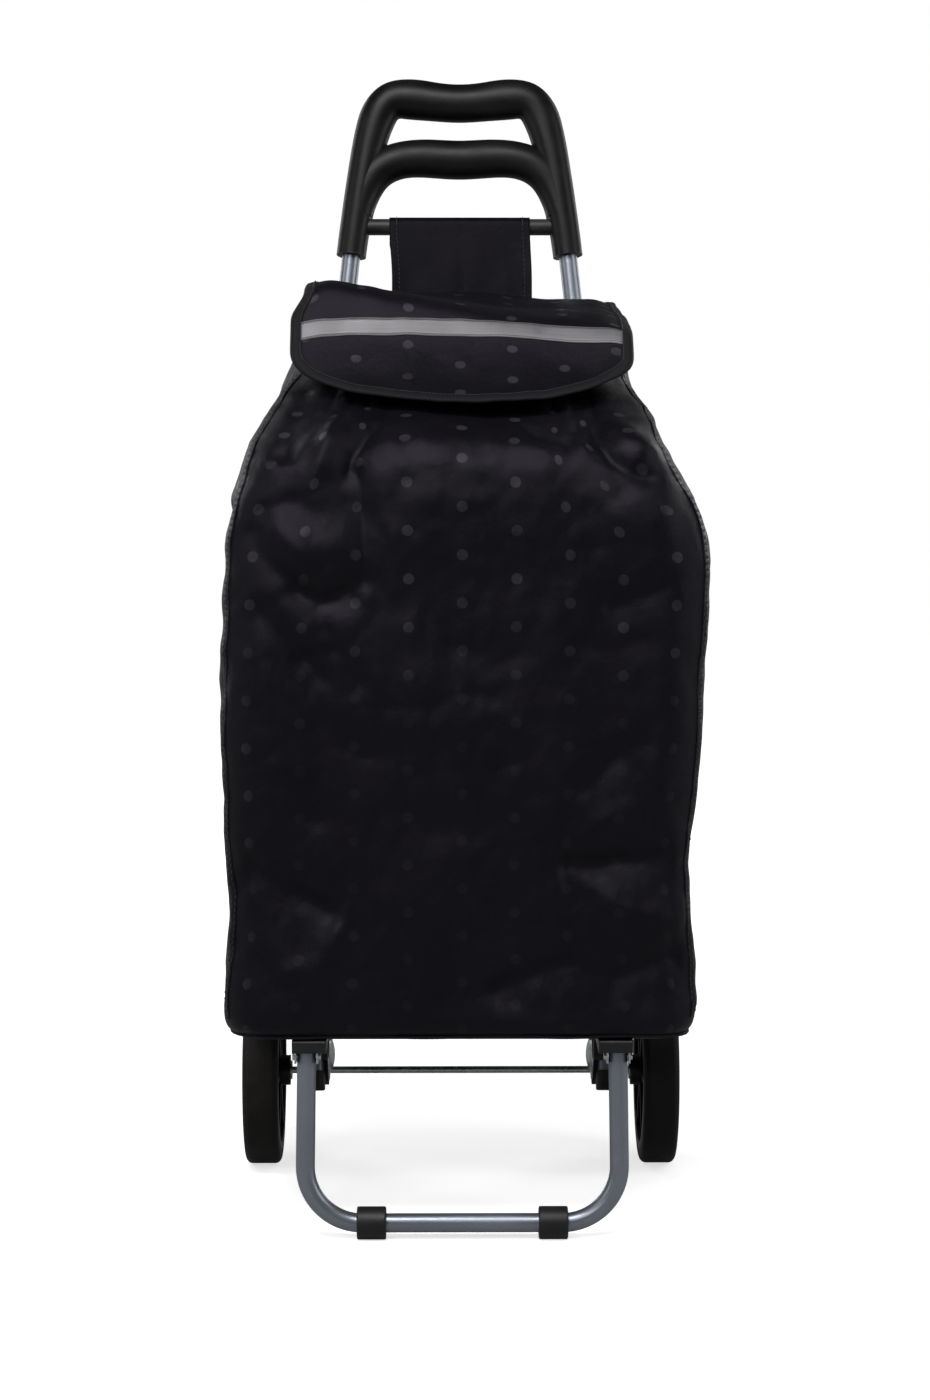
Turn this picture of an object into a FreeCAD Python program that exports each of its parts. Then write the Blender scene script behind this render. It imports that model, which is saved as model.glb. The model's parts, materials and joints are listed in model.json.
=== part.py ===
"""Two-wheeled shopping trolley: folding front stand, fabric bag with a lid flap, twin-bar handle.

Millimetres.  X to the right seen from the front, Y from the front (-Y) to the back, Z up.
The origin is on the floor, under the middle of the trolley's outline.
The uprights, the handle and the back of the bag lie in one plane that leans back, so those
pieces are drawn in that plane first: X across, Z along the uprights, Y square to the plane.
"""
import FreeCAD, Part
import math
import os

from FreeCAD import Placement, Rotation, Vector

# ---------------------------------------------------------------- driving dimensions
SIDES = {"left": -1, "right": 1}

AXLE_Y = 57.0             # the axle, behind the middle of the outline
WHEEL_R = 80.0
WHEEL_W = 30.0
WHEEL_X = 169.5           # middle of the tread
TYRE_T = 12.0
RIM_T = 6.0
AXLE_R = 3.0
AXLE_HALF = 184.0

LEAN = 11.0               # uprights lean back, degrees
UPRIGHT_Y = AXLE_Y - 25.0     # where the leaning plane meets the axle's height
UPRIGHT_R = 8.0
TUBE_T = 1.2
UPRIGHT_X = 125.0         # lower, parallel stretch
SOCKET_X = 95.8           # at the mouth of the handle's socket
SOCKET_S = 719.0          # all S values run along the leaning plane from the axle's height
SPLAY = 6.0               # upper stretch, degrees
UPRIGHT_TOP_S = 760.0
UPRIGHT_END_S = -10.0

HANDLE_DEPTH = 27.0
HANDLE_ROUND = 12.0
SOCKET_R = 13.1
BAR_R = 7.2               # bar that carries the bag
BAR_S = 745.4

PIVOT_Y = AXLE_Y - 250.0      # hinge of the front stand
PIVOT_Z = 144.0
LEG_X = 122.0
FOOT_LEG_X = 123.8
LEG_R = 7.5
LEG_BEND_R = 44.5
FOOT_Y = AXLE_Y - 258.0
FOOT_Z = 12.5             # the stand's bottom tube above the floor
FOOT_R = 12.9             # cut off flat at the floor
FOOT_W = 23.0
FOOT_X = 71.3

RAIL_X0, RAIL_X1 = 106.3, 113.8
RAIL_Z0, RAIL_Z1 = 149.2, 157.2
RAIL_FRONT_Y = AXLE_Y - 236.0
RAIL_BACK_Y = AXLE_Y - 2.0
RAIL_T = 1.0

BAG_FLOOR_Z = 158.2
BAG_TOP_Z = 728.0
BAG_WALL = 3.0
BAG_BACK_N = -9.7         # outer face of the bag's back, in front of the leaning plane
HEM_H = 13.0

FLAP_HALF_W = 139.0
FLAP_T = 2.5
HINGE_Z = 751.0
BINDING_W = 9.0

RUNNING = 0.05            # radial clearance of everything that turns
GAP = 0.3                 # room between pieces on different bodies

X_AXIS = Vector(1, 0, 0)
Y_AXIS = Vector(0, 1, 0)
Z_AXIS = Vector(0, 0, 1)

os.makedirs("parts", exist_ok=True)


# ---------------------------------------------------------------- helpers
def save(name, shape):
    shape.exportStep("parts/%s.step" % name)


def box(x0, x1, y0, y1, z0, z1):
    return Part.makeBox(x1 - x0, y1 - y0, z1 - z0, Vector(x0, y0, z0))


def rod(radius, start, end):
    """Round bar from one point to another."""
    run = end - start
    return Part.makeCylinder(radius, run.Length, start, run)


def ring(outer, inner, start, end):
    return rod(outer, start, end).cut(rod(inner, start, end))


def leaned(shape):
    """Move a piece drawn in the leaning plane to its place."""
    place = Placement(Vector(0, UPRIGHT_Y, WHEEL_R), Rotation(X_AXIS, -LEAN))
    moved = shape.copy()
    moved.Placement = place.multiply(moved.Placement)
    return moved


def plane_y(z):
    """Y of the leaning plane at a height."""
    return UPRIGHT_Y + (z - WHEEL_R) * math.tan(math.radians(LEAN))


def rounded_path(points, radius):
    """Straight runs joined by tangent arcs of one radius."""
    edges = []
    last = points[0]
    for before, corner, after in zip(points, points[1:], points[2:]):
        back = (before - corner).normalize()
        ahead = (after - corner).normalize()
        half = back.getAngle(ahead) / 2.0
        reach = radius / math.tan(half)
        middle = (back + ahead).normalize()
        start = corner + back * reach
        end = corner + ahead * reach
        top = corner + middle * (radius / math.sin(half) - radius)
        edges.append(Part.makeLine(last, start))
        edges.append(Part.Arc(start, top, end).toShape())
        last = end
    edges.append(Part.makeLine(last, points[-1]))
    return Part.Wire(edges)


def sweep(path, radius):
    """Round bar along a path."""
    first = path.OrderedEdges[0]
    start = first.valueAt(first.FirstParameter)
    circle = Part.Wire(Part.makeCircle(radius, start, first.tangentAt(first.FirstParameter)))
    return path.makePipeShell([circle], True, False)


def tube(path, radius, wall):
    return sweep(path, radius).cut(sweep(path, radius - wall))


def spline_edge(points):
    curve = Part.BSplineCurve()
    curve.interpolate(points)
    return curve.toShape()


def mirrored(shape):
    return shape.mirror(Vector(0, 0, 0), X_AXIS)


# ---------------------------------------------------------------- uprights
def upright_x(s):
    """Centre of an upright across the plane, at a place along it."""
    return min(UPRIGHT_X, SOCKET_X + (SOCKET_S - s) * math.tan(math.radians(SPLAY)))


def upright_path(sign):
    bend_s = SOCKET_S - (UPRIGHT_X - SOCKET_X) / math.tan(math.radians(SPLAY))
    points = [Vector(sign * upright_x(UPRIGHT_TOP_S), 0, UPRIGHT_TOP_S),
              Vector(sign * UPRIGHT_X, 0, bend_s),
              Vector(sign * UPRIGHT_X, 0, UPRIGHT_END_S)]
    return rounded_path(points, 120.0)


BRACKET_BOLT_S = 34.0     # bolt through bracket and upright
BOLT_R = 2.5
BRACKET_X0, BRACKET_X1 = RAIL_X1, 134.5
BRACKET_TOP_Z = 157.6
RAIL_MID_Z = (RAIL_Z0 + RAIL_Z1) / 2.0
RAIL_BOLT_S = (RAIL_MID_Z - WHEEL_R) / math.cos(math.radians(LEAN))   # through rail and upright


def upright(sign):
    shape = tube(upright_path(sign), UPRIGHT_R, TUBE_T)
    for s in (BRACKET_BOLT_S, RAIL_BOLT_S):
        shape = shape.cut(rod(BOLT_R, Vector(sign * 100, 0, s), Vector(sign * 150, 0, s)))
    return leaned(shape)


def end_cap(sign):
    x = sign * UPRIGHT_X
    bottom = UPRIGHT_END_S - 2.6
    outside = rod(UPRIGHT_R + 0.8, Vector(x, 0, bottom), Vector(x, 0, UPRIGHT_END_S + 15.0))
    outside = outside.makeFillet(1.6, [e for e in outside.Edges if e.CenterOfMass.z < bottom + 0.1])
    inside = rod(UPRIGHT_R, Vector(x, 0, UPRIGHT_END_S), Vector(x, 0, UPRIGHT_END_S + 20.0))
    return leaned(outside.cut(inside))


BRACE_S = 470.0
BRACE_R = 6.0


def cross_brace():
    reach = upright_x(BRACE_S)
    shape = rod(BRACE_R, Vector(-reach, 0, BRACE_S), Vector(reach, 0, BRACE_S))
    shape = shape.cut(rod(BRACE_R - TUBE_T, Vector(-reach, 0, BRACE_S), Vector(reach, 0, BRACE_S)))
    for sign in SIDES.values():
        shape = shape.cut(sweep(upright_path(sign), UPRIGHT_R))
    return leaned(shape)


# ---------------------------------------------------------------- handle
# Each point is (X, S, half height, half depth) of the moulding's middle line.
GRIP_LOOP = [(95.8, 719.0, 13.1, 13.0), (94.9, 726.5, 13.1, 13.0), (93.9, 734.5, 13.2, 13.1),
             (92.0, 748.0, 13.4, 13.2), (87.7, 777.0, 13.8, 13.4),
             (82.8, 806.0, 14.4, 13.5), (76.2, 834.0, 15.8, 13.5), (69.9, 850.0, 16.4, 13.5),
             (60.3, 859.6, 17.0, 13.5), (46.0, 861.6, 17.9, 13.5), (22.0, 859.2, 17.4, 13.5),
             (0.0, 857.7, 17.1, 13.5)]
LOWER_GRIP = [(89.6, 756.0, 13.1, 12.9), (86.4, 771.0, 14.4, 13.1), (80.0, 787.0, 16.0, 13.2),
              (67.0, 800.0, 16.4, 13.4), (46.0, 806.9, 16.6, 13.5), (0.0, 806.2, 17.4, 13.5)]
SHELL_T = 3.0
SOLID_TO_S = 768.0        # the moulding is solid round the sockets up to here
SCREWS = [(84.5, 796.0), (56.0, 860.6)]
SCREW_R = 2.0
SCREW_HEAD_R = 3.8
SCREW_HEAD_H = 2.4
SCREW_LENGTH = 19.0
BOSS_R = 5.0


def oval(centre, along, tall, deep):
    """Oval section square to the grip: tall in the leaning plane, deep through it."""
    across = along.cross(Y_AXIS)
    ellipse = Part.Ellipse(centre + across * tall, centre + Y_AXIS * deep, centre)
    return Part.Wire(ellipse.toShape())


def grip(stations, inset):
    """Loft along a grip, given from one end to the middle and mirrored to the other end."""
    both = stations + [(-x, s, tall, deep) for x, s, tall, deep in reversed(stations[:-1])]
    points = [Vector(x, 0, s) for x, s, _, _ in both]
    curve = Part.BSplineCurve()
    curve.interpolate(points)
    sections = []
    for point, (_, _, tall, deep) in zip(points, both):
        along = curve.tangent(curve.parameter(point))[0]
        sections.append(oval(point, along, tall - inset, deep - inset))
    return Part.makeLoft(sections, True, False)


def grips(inset):
    return grip(GRIP_LOOP, inset).fuse(grip(LOWER_GRIP, inset))


def screw_places():
    return [(sign * x, s) for sign in SIDES.values() for x, s in SCREWS]


def handle_body():
    hollow = grips(SHELL_T).cut(box(-200, 200, -50, 50, 0, SOLID_TO_S))
    for x, s in screw_places():
        hollow = hollow.cut(rod(BOSS_R, Vector(x, -50, s), Vector(x, 50, s)))
    body = grips(0.0).cut(hollow)
    for sign in SIDES.values():
        body = body.cut(sweep(upright_path(sign), UPRIGHT_R))
    return body.cut(hanger_bar_solid())


def hanger_bar_solid():
    return rod(BAR_R, Vector(-82, 0, BAR_S), Vector(82, 0, BAR_S))


def hanger_bar():
    shape = hanger_bar_solid()
    for sign in SIDES.values():
        shape = shape.cut(sweep(upright_path(sign), UPRIGHT_R))
    return leaned(shape)


def screw(x, s):
    back = HANDLE_DEPTH / 2.0 - 1.0
    shank = rod(SCREW_R, Vector(x, back, s), Vector(x, back - SCREW_LENGTH, s))
    head = rod(SCREW_HEAD_R, Vector(x, back, s), Vector(x, back - SCREW_HEAD_H, s))
    return shank.fuse(head)


def build_handle():
    body = handle_body()
    screws = [screw(x, s) for x, s in screw_places()]
    for (x, s), fitted in zip(screw_places(), screws):
        back = HANDLE_DEPTH / 2.0 - 1.0 - SCREW_HEAD_H
        recess = rod(SCREW_HEAD_R, Vector(x, back, s), Vector(x, 50, s))
        body = body.cut(fitted).cut(recess)
    save("handle_front_shell", leaned(body.common(box(-200, 200, -50, 0, 600, 1000))))
    save("handle_rear_shell", leaned(body.common(box(-200, 200, 0, 50, 600, 1000))))
    save("handle_screws", leaned(Part.makeCompound(screws)))
    save("hanger_bar", hanger_bar())


# ---------------------------------------------------------------- rear brackets and axle
AXLE = Vector(0, AXLE_Y, WHEEL_R)
DOME_Y, DOME_Z = AXLE_Y - 7.0, 95.0
DOME_R, DOME_H, PLATE_T = 19.0, 5.4, 1.5
FLANGE_T = 1.0
BOLT_HEAD_R, BOLT_HEAD_H = 4.2, 3.0


def side_plate(outline, x0, x1):
    """Flat plate across X from (Y, Z) points."""
    points = [Vector(x0, y, z) for y, z in outline]
    return Part.Face(Part.makePolygon(points + points[:1])).extrude(Vector(x1 - x0, 0, 0))


def bracket_body():
    """Right bracket: grips the upright, carries the axle and the end of the platform rail."""
    y = AXLE_Y
    outline = [(y - 38, 96), (y - 14, 92), (y - 11, 73), (y - 4, 67.5), (y + 5, 68), (y + 12, 76),
               (y + 13, 86), (y + 4, 108), (y + 3, BRACKET_TOP_Z), (y - 24, BRACKET_TOP_Z),
               (y - 34, 128)]
    shape = side_plate(outline, BRACKET_X0, BRACKET_X1)
    upright_edges = [e for e in shape.Edges if abs(e.tangentAt(e.FirstParameter).x) > 0.99]
    shape = shape.makeFillet(3.0, upright_edges)
    outer_rim = [e for e in shape.Edges if abs(e.CenterOfMass.x - BRACKET_X1) < 0.01]
    return shape.makeFillet(1.2, outer_rim)


def bolt_along_x(y, z, x0, x1):
    """Hexagon bolt with its nut, seen along X; x0 and x1 are the faces that it clamps."""
    shank = rod(BOLT_R, Vector(x0, y, z), Vector(x1, y, z))
    corners = [Vector(0, y + BOLT_HEAD_R * math.cos(a), z + BOLT_HEAD_R * math.sin(a))
               for a in [math.radians(60 * k) for k in range(7)]]
    face = Part.Face(Part.makePolygon(corners))
    head, nut = face.copy(), face.copy()
    head.translate(Vector(x1, 0, 0))
    nut.translate(Vector(x0 - BOLT_HEAD_H, 0, 0))
    step = Vector(BOLT_HEAD_H, 0, 0)
    return shank.fuse(head.extrude(step)).fuse(nut.extrude(step))


def bracket_bolts():
    """One bolt through bracket and upright, and one that takes the rail too."""
    bolts = []
    for s, inner_face in ((BRACKET_BOLT_S, BRACKET_X0), (RAIL_BOLT_S, RAIL_X0)):
        place = leaned(Part.Vertex(Vector(0, 0, s))).Point
        bolts.append(bolt_along_x(place.y, place.z, inner_face, BRACKET_X1))
    return bolts


def axle_plate():
    """Domed steel pressing on the inside face of the right bracket."""
    centre = Vector(BRACKET_X0, DOME_Y, DOME_Z)
    sphere_r = (DOME_R ** 2 + DOME_H ** 2) / (2 * DOME_H)
    middle = centre + X_AXIS * (sphere_r - DOME_H)
    outside = Part.makeSphere(sphere_r, middle)
    inside = Part.makeSphere(sphere_r - PLATE_T, middle)
    dome = outside.cut(inside).common(box(BRACKET_X0 - 20, BRACKET_X0 - FLANGE_T,
                                          DOME_Y - 50, DOME_Y + 50, 40, 150))
    flange = rod(DOME_R + 2.5, centre - X_AXIS * FLANGE_T, centre)
    flange = flange.cut(rod(DOME_R - 6.0, centre - X_AXIS * 3, centre + X_AXIS * 3))
    return dome.fuse(flange)


def build_rear():
    axle = rod(AXLE_R, AXLE - X_AXIS * AXLE_HALF, AXLE + X_AXIS * AXLE_HALF)
    upright_hole = leaned(sweep(upright_path(1), UPRIGHT_R))
    bolts = bracket_bolts()
    bracket = bracket_body().cut(upright_hole).cut(axle).cut(leaned(rod(
        UPRIGHT_R + 0.8, Vector(UPRIGHT_X, 0, -20), Vector(UPRIGHT_X, 0, 5.0))))
    plate = axle_plate().cut(axle)
    for bolt in bolts:
        bracket = bracket.cut(bolt)
        plate = plate.cut(bolt)
    for side, sign in SIDES.items():
        place = (lambda s: s) if sign > 0 else mirrored
        save("axle_bracket_" + side, place(bracket))
        save("axle_plate_" + side, place(plate))
        save("bracket_bolts_" + side, place(Part.makeCompound(bolts)))
    save("axle", axle)


# ---------------------------------------------------------------- platform
BLOCK_X1 = 133.2
BLOCK_Z0, BLOCK_Z1 = 147.9, 158.0
BLOCK_Y0 = PIVOT_Y - 13.0
CHEEK_X0, CHEEK_X1 = 114.2, 129.8      # inside faces of the clevis
CHEEK_T = 1.5
CHEEK_Y0, CHEEK_Y1 = PIVOT_Y - 8.0, PIVOT_Y + 8.0
CLEVIS_TOP_Z = 155.0
SPIGOT_L = 20.0
RIVET_R, RIVET_HEAD_R, RIVET_HEAD_H = 2.5, 3.7, 1.9
CROSS_BARS = {"rear": AXLE_Y - 30.0, "middle": AXLE_Y - 84.0}
CROSS_BAR_W, CROSS_BAR_T = 14.0, 4.0
TIE_Y, TIE_W, TIE_T = AXLE_Y - 62.0, 22.0, 0.9


def rail():
    y0, y1 = RAIL_FRONT_Y, RAIL_BACK_Y
    outside = box(RAIL_X0, RAIL_X1, y0, y1, RAIL_Z0, RAIL_Z1)
    inside = box(RAIL_X0 + RAIL_T, RAIL_X1 - RAIL_T, y0, y1, RAIL_Z0 + RAIL_T, RAIL_Z1 - RAIL_T)
    return outside.cut(inside).cut(bracket_bolts()[1])


def clevis():
    """Steel U that holds the top of the right leg."""
    x0, x1 = CHEEK_X0 - CHEEK_T, CHEEK_X1 + CHEEK_T
    shape = box(x0, x1, CHEEK_Y0, CHEEK_Y1, PIVOT_Z - 5.0, CLEVIS_TOP_Z)
    slot = box(CHEEK_X0, CHEEK_X1, CHEEK_Y0, CHEEK_Y1, 0, CLEVIS_TOP_Z - CHEEK_T)
    return shape.cut(slot)


def pivot_rivet():
    x0, x1 = CHEEK_X0 - CHEEK_T, CHEEK_X1 + CHEEK_T
    pin = rod(RIVET_R, Vector(x0, PIVOT_Y, PIVOT_Z), Vector(x1, PIVOT_Y, PIVOT_Z))
    for start, step in ((x1, RIVET_HEAD_H), (x0, -RIVET_HEAD_H)):
        head = rod(RIVET_HEAD_R, Vector(start, PIVOT_Y, PIVOT_Z),
                   Vector(start + step, PIVOT_Y, PIVOT_Z))
        pin = pin.fuse(head)
    return pin


def front_block():
    """Plastic corner: holds the clevis, plugs the rail and stops the leg from going forward."""
    shape = box(RAIL_X0, BLOCK_X1, BLOCK_Y0, RAIL_FRONT_Y, BLOCK_Z0, BLOCK_Z1)
    fronts = [e for e in shape.Edges if e.BoundBox.YMax < BLOCK_Y0 + 0.01]
    shape = shape.makeFillet(2.0, fronts)
    swing = box(CHEEK_X0 - CHEEK_T, CHEEK_X1 + CHEEK_T, CHEEK_Y0, RAIL_FRONT_Y + 1, 0,
                CLEVIS_TOP_Z)
    spigot = box(RAIL_X0 + RAIL_T, RAIL_X1 - RAIL_T, RAIL_FRONT_Y, RAIL_FRONT_Y + SPIGOT_L,
                 RAIL_Z0 + RAIL_T, RAIL_Z1 - RAIL_T)
    return shape.cut(swing).fuse(spigot)


def tie():
    """Webbing loop under the bag, round the right rail."""
    y0, y1 = TIE_Y - TIE_W / 2, TIE_Y + TIE_W / 2
    outside = box(RAIL_X0 - TIE_T, RAIL_X1 + TIE_T, y0, y1, RAIL_Z0 - TIE_T, RAIL_Z1 + TIE_T)
    return outside.cut(box(RAIL_X0, RAIL_X1, y0, y1, RAIL_Z0, RAIL_Z1))


def tie_stud():
    x = RAIL_X1 + TIE_T
    base = rod(3.6, Vector(x, TIE_Y, RAIL_MID_Z), Vector(x + 1.0, TIE_Y, RAIL_MID_Z))
    cap = rod(2.6, Vector(x + 1.0, TIE_Y, RAIL_MID_Z), Vector(x + 1.8, TIE_Y, RAIL_MID_Z))
    return base.fuse(cap)


def build_platform():
    pieces = {"platform_rail": rail(), "front_joint": front_block(), "stand_clevis": clevis(),
              "bag_tie": tie()}
    pieces["stand_clevis"] = pieces["stand_clevis"].cut(pivot_rivet())
    for side, sign in SIDES.items():
        for name, shape in pieces.items():
            save("%s_%s" % (name, side), shape if sign > 0 else mirrored(shape))
    for name, y in CROSS_BARS.items():
        save("platform_bar_" + name,
             box(-RAIL_X0, RAIL_X0, y - CROSS_BAR_W / 2, y + CROSS_BAR_W / 2,
                 RAIL_Z1 - CROSS_BAR_T, RAIL_Z1))
    save("stand_rivets", Part.makeCompound([pivot_rivet(), mirrored(pivot_rivet())]))
    save("tie_studs", Part.makeCompound([tie_stud(), mirrored(tie_stud())]))


# ---------------------------------------------------------------- folding stand
LEG_TOP = 5.0             # the leg runs on past its pivot
PLUG_L = 20.0


def leg_direction(sign):
    foot = Vector(sign * FOOT_LEG_X, FOOT_Y, FOOT_Z)
    pivot = Vector(sign * LEG_X, PIVOT_Y, PIVOT_Z)
    return (foot - pivot).normalize()


def leg_top(sign):
    return Vector(sign * LEG_X, PIVOT_Y, PIVOT_Z) - leg_direction(sign) * LEG_TOP


def stand_path():
    corners = [leg_top(-1), Vector(-FOOT_LEG_X, FOOT_Y, FOOT_Z),
               Vector(FOOT_LEG_X, FOOT_Y, FOOT_Z), leg_top(1)]
    return rounded_path(corners, LEG_BEND_R)


def build_stand():
    pin_hole = rod(RIVET_R + RUNNING, Vector(-150, PIVOT_Y, PIVOT_Z), Vector(150, PIVOT_Y, PIVOT_Z))
    save("stand_tube", tube(stand_path(), LEG_R, TUBE_T).cut(pin_hole))
    for side, sign in SIDES.items():
        top = leg_top(sign)
        plug = rod(LEG_R - TUBE_T, top, top + leg_direction(sign) * PLUG_L)
        save("stand_plug_" + side, plug.cut(pin_hole))
        x0 = sign * FOOT_X - FOOT_W / 2
        foot = rod(FOOT_R, Vector(x0, FOOT_Y, FOOT_Z), Vector(x0 + FOOT_W, FOOT_Y, FOOT_Z))
        foot = foot.makeFillet(1.5, foot.Edges).cut(sweep(stand_path(), LEG_R))
        foot = foot.cut(box(x0, x0 + FOOT_W, FOOT_Y - FOOT_R, FOOT_Y + FOOT_R, -FOOT_R, 0))
        save("stand_foot_" + side, foot)


# ---------------------------------------------------------------- wheels
HUB_X0, HUB_X1 = 147.2, 177.5
HUB_R = 13.0
BUSH_R = 5.5
BUSH_LIP_R, BUSH_LIP_T = 7.5, 1.5
WEB_X0, WEB_X1 = 163.0, 167.0
SPOKES = 6
WINDOW_R = 11.5
WINDOW_AT_R = 41.0
RIB_T = 3.0
WASHER_R, WASHER_T = 8.0, 1.2
CAP_R, CAP_L = 9.0, 6.5


def along_axle(radius, x0, x1):
    return rod(radius, Vector(x0, AXLE_Y, WHEEL_R), Vector(x1, AXLE_Y, WHEEL_R))


def turned(shape, angle):
    copy = shape.copy()
    copy.rotate(AXLE, X_AXIS, angle)
    return copy


def wheel_core():
    """Right wheel's moulding: hub, web with round windows, ribs and rim."""
    rim_out = WHEEL_R - TYRE_T
    half = WHEEL_W / 2.0
    rim = along_axle(rim_out, WHEEL_X - half, WHEEL_X + half)
    rim = rim.cut(along_axle(rim_out - RIM_T, WHEEL_X - half, WHEEL_X + half))
    web = along_axle(rim_out - RIM_T, WEB_X0, WEB_X1)
    window = along_axle(WINDOW_R, WEB_X0 - 1, WEB_X1 + 1)
    window.translate(Vector(0, 0, WINDOW_AT_R))
    rib = box(HUB_X0 + 8.0, HUB_X1 - 4.0, AXLE_Y - RIB_T / 2, AXLE_Y + RIB_T / 2,
              WHEEL_R + HUB_R - 1.0, WHEEL_R + rim_out - RIM_T + 0.5)
    core = rim.fuse(web).fuse(along_axle(HUB_R, HUB_X0, HUB_X1))
    for k in range(SPOKES):
        core = core.cut(turned(window, 360.0 * k / SPOKES))
    for k in range(SPOKES):
        core = core.fuse(turned(rib, 360.0 * (k + 0.5) / SPOKES))
    core = core.cut(along_axle(BUSH_R, HUB_X0, HUB_X1))
    for x0, x1 in ((HUB_X0, HUB_X0 + BUSH_LIP_T), (HUB_X1 - BUSH_LIP_T, HUB_X1)):
        core = core.cut(along_axle(BUSH_LIP_R, x0, x1))
    return core


def tyre():
    half = WHEEL_W / 2.0
    shape = along_axle(WHEEL_R, WHEEL_X - half, WHEEL_X + half)
    shape = shape.makeFillet(5.5, shape.Edges)
    return shape.cut(along_axle(WHEEL_R - TYRE_T, WHEEL_X - half, WHEEL_X + half))


def bush():
    shape = along_axle(BUSH_R, HUB_X0, HUB_X1)
    for x0, x1 in ((HUB_X0, HUB_X0 + BUSH_LIP_T), (HUB_X1 - BUSH_LIP_T, HUB_X1)):
        shape = shape.fuse(along_axle(BUSH_LIP_R, x0, x1))
    return shape.cut(along_axle(AXLE_R + RUNNING, HUB_X0, HUB_X1))


def washer(x0):
    return along_axle(WASHER_R, x0, x0 + WASHER_T).cut(along_axle(AXLE_R, x0, x0 + WASHER_T))


def axle_cap():
    """Push-on cap with a domed end, over the end of the axle."""
    x0 = HUB_X1 + GAP + WASHER_T
    shape = along_axle(CAP_R, x0, x0 + CAP_L)
    crown = [e for e in shape.Edges if e.CenterOfMass.x > x0 + CAP_L - 0.1]
    shape = shape.makeFillet(3.5, crown)
    return shape.cut(along_axle(AXLE_R, x0, AXLE_HALF))


def build_wheels():
    pieces = {"wheel": wheel_core(), "tyre": tyre(), "wheel_bush": bush(),
              "inner_washer": washer(HUB_X0 - GAP - WASHER_T), "outer_washer": washer(HUB_X1 + GAP),
              "axle_cap": axle_cap()}
    for side, sign in SIDES.items():
        for name, shape in pieces.items():
            save("%s_%s" % (name, side), shape if sign > 0 else mirrored(shape))


# ---------------------------------------------------------------- bag
# Each section is (Z, half width, front Y behind the axle, corner radius).
BAG_SECTIONS = [(BAG_FLOOR_Z, 183.0, -262.0, 28.0), (165.0, 188.0, -268.0, 32.0),
                (230.0, 187.0, -270.0, 34.0), (300.0, 188.0, -272.0, 36.0),
                (400.0, 193.0, -273.0, 38.0), (500.0, 195.0, -273.0, 42.0),
                (545.0, 193.0, -272.0, 44.0), (580.0, 184.0, -270.0, 46.0),
                (605.0, 174.0, -266.0, 46.0), (622.0, 166.0, -256.0, 46.0),
                (636.0, 160.0, -234.0, 46.0), (648.0, 154.0, -206.0, 46.0),
                (664.0, 147.0, -174.0, 44.0), (684.0, 137.0, -150.0, 42.0),
                (BAG_TOP_Z, 125.0, -138.0, 40.0)]
BOARD_T = 2.5
BOARD_MARGIN = 14.0
PIPING_R = 1.6
FOOT_TUCK, FOOT_TUCK_Z = 5.0, 200.0    # the foot of the back is drawn in for the corded seam
HEM_T = 1.5


def bag_back_y(z):
    tuck = FOOT_TUCK if z < FOOT_TUCK_Z else 0.0
    return plane_y(z) + BAG_BACK_N / math.cos(math.radians(LEAN)) - tuck


def rounded_rectangle(z, half, y0, y1, corner):
    corners = [Vector(half, 0.5 * (y0 + y1), z), Vector(half, y1, z), Vector(-half, y1, z),
               Vector(-half, y0, z), Vector(half, y0, z), Vector(half, 0.5 * (y0 + y1), z)]
    return rounded_path(corners, corner)


def bag_section(station, inset):
    z, half, front, corner = station
    return rounded_rectangle(z, half - inset, AXLE_Y + front + inset, bag_back_y(z) - inset,
                             corner - inset)


def lift(station, z):
    return (z,) + station[1:]


def bag_body():
    outside = Part.makeLoft([bag_section(s, 0.0) for s in BAG_SECTIONS], True, True)
    inner = [lift(BAG_SECTIONS[0], BAG_FLOOR_Z + BAG_WALL)] + BAG_SECTIONS[1:]
    inside = Part.makeLoft([bag_section(s, BAG_WALL) for s in inner], True, True)
    return outside.cut(inside)


def base_board():
    """Stiff board loose on the bag's floor."""
    z = BAG_FLOOR_Z + BAG_WALL
    wire = bag_section(lift(BAG_SECTIONS[0], z), BOARD_MARGIN)
    return Part.Face(wire).extrude(Vector(0, 0, BOARD_T))


def mouth_hem():
    """Hem at the bag's mouth that the gathering runs through."""
    z, half, front, corner = BAG_SECTIONS[-1]
    outer = rounded_rectangle(z, half + HEM_T, AXLE_Y + front - HEM_T, bag_back_y(z), corner)
    inner = bag_section(BAG_SECTIONS[-1], BAG_WALL + HEM_T)
    height = Vector(0, 0, HEM_H)
    return Part.Face(outer).extrude(height).cut(Part.Face(inner).extrude(height))


def bottom_piping():
    """Corded seam round the foot of the bag."""
    return sweep(bag_section(BAG_SECTIONS[1], -PIPING_R - 0.1), PIPING_R)


# ---------------------------------------------------------------- hanger panel, flap and strip
HANGER_HALF_W = 62.0
HANGER_T = 2.0
HANGER_END_S = 630.0
FLAP_BACK_Y = plane_y(HINGE_Z) - 15.8
FLAP_BACK_Z = 752.0
FLAP_FRONT_Y, FLAP_FRONT_Z = AXLE_Y - 155.0, 747.0
FLAP_LIP_Y, FLAP_LIP_Z = AXLE_Y - 230.0, 648.0
FLAP_BEND_R = 40.0
FLAP_OVAL_Z = 706.0
STRIP_Z0, STRIP_Z1 = 702.0, 714.0
STRIP_T = 0.5


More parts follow.
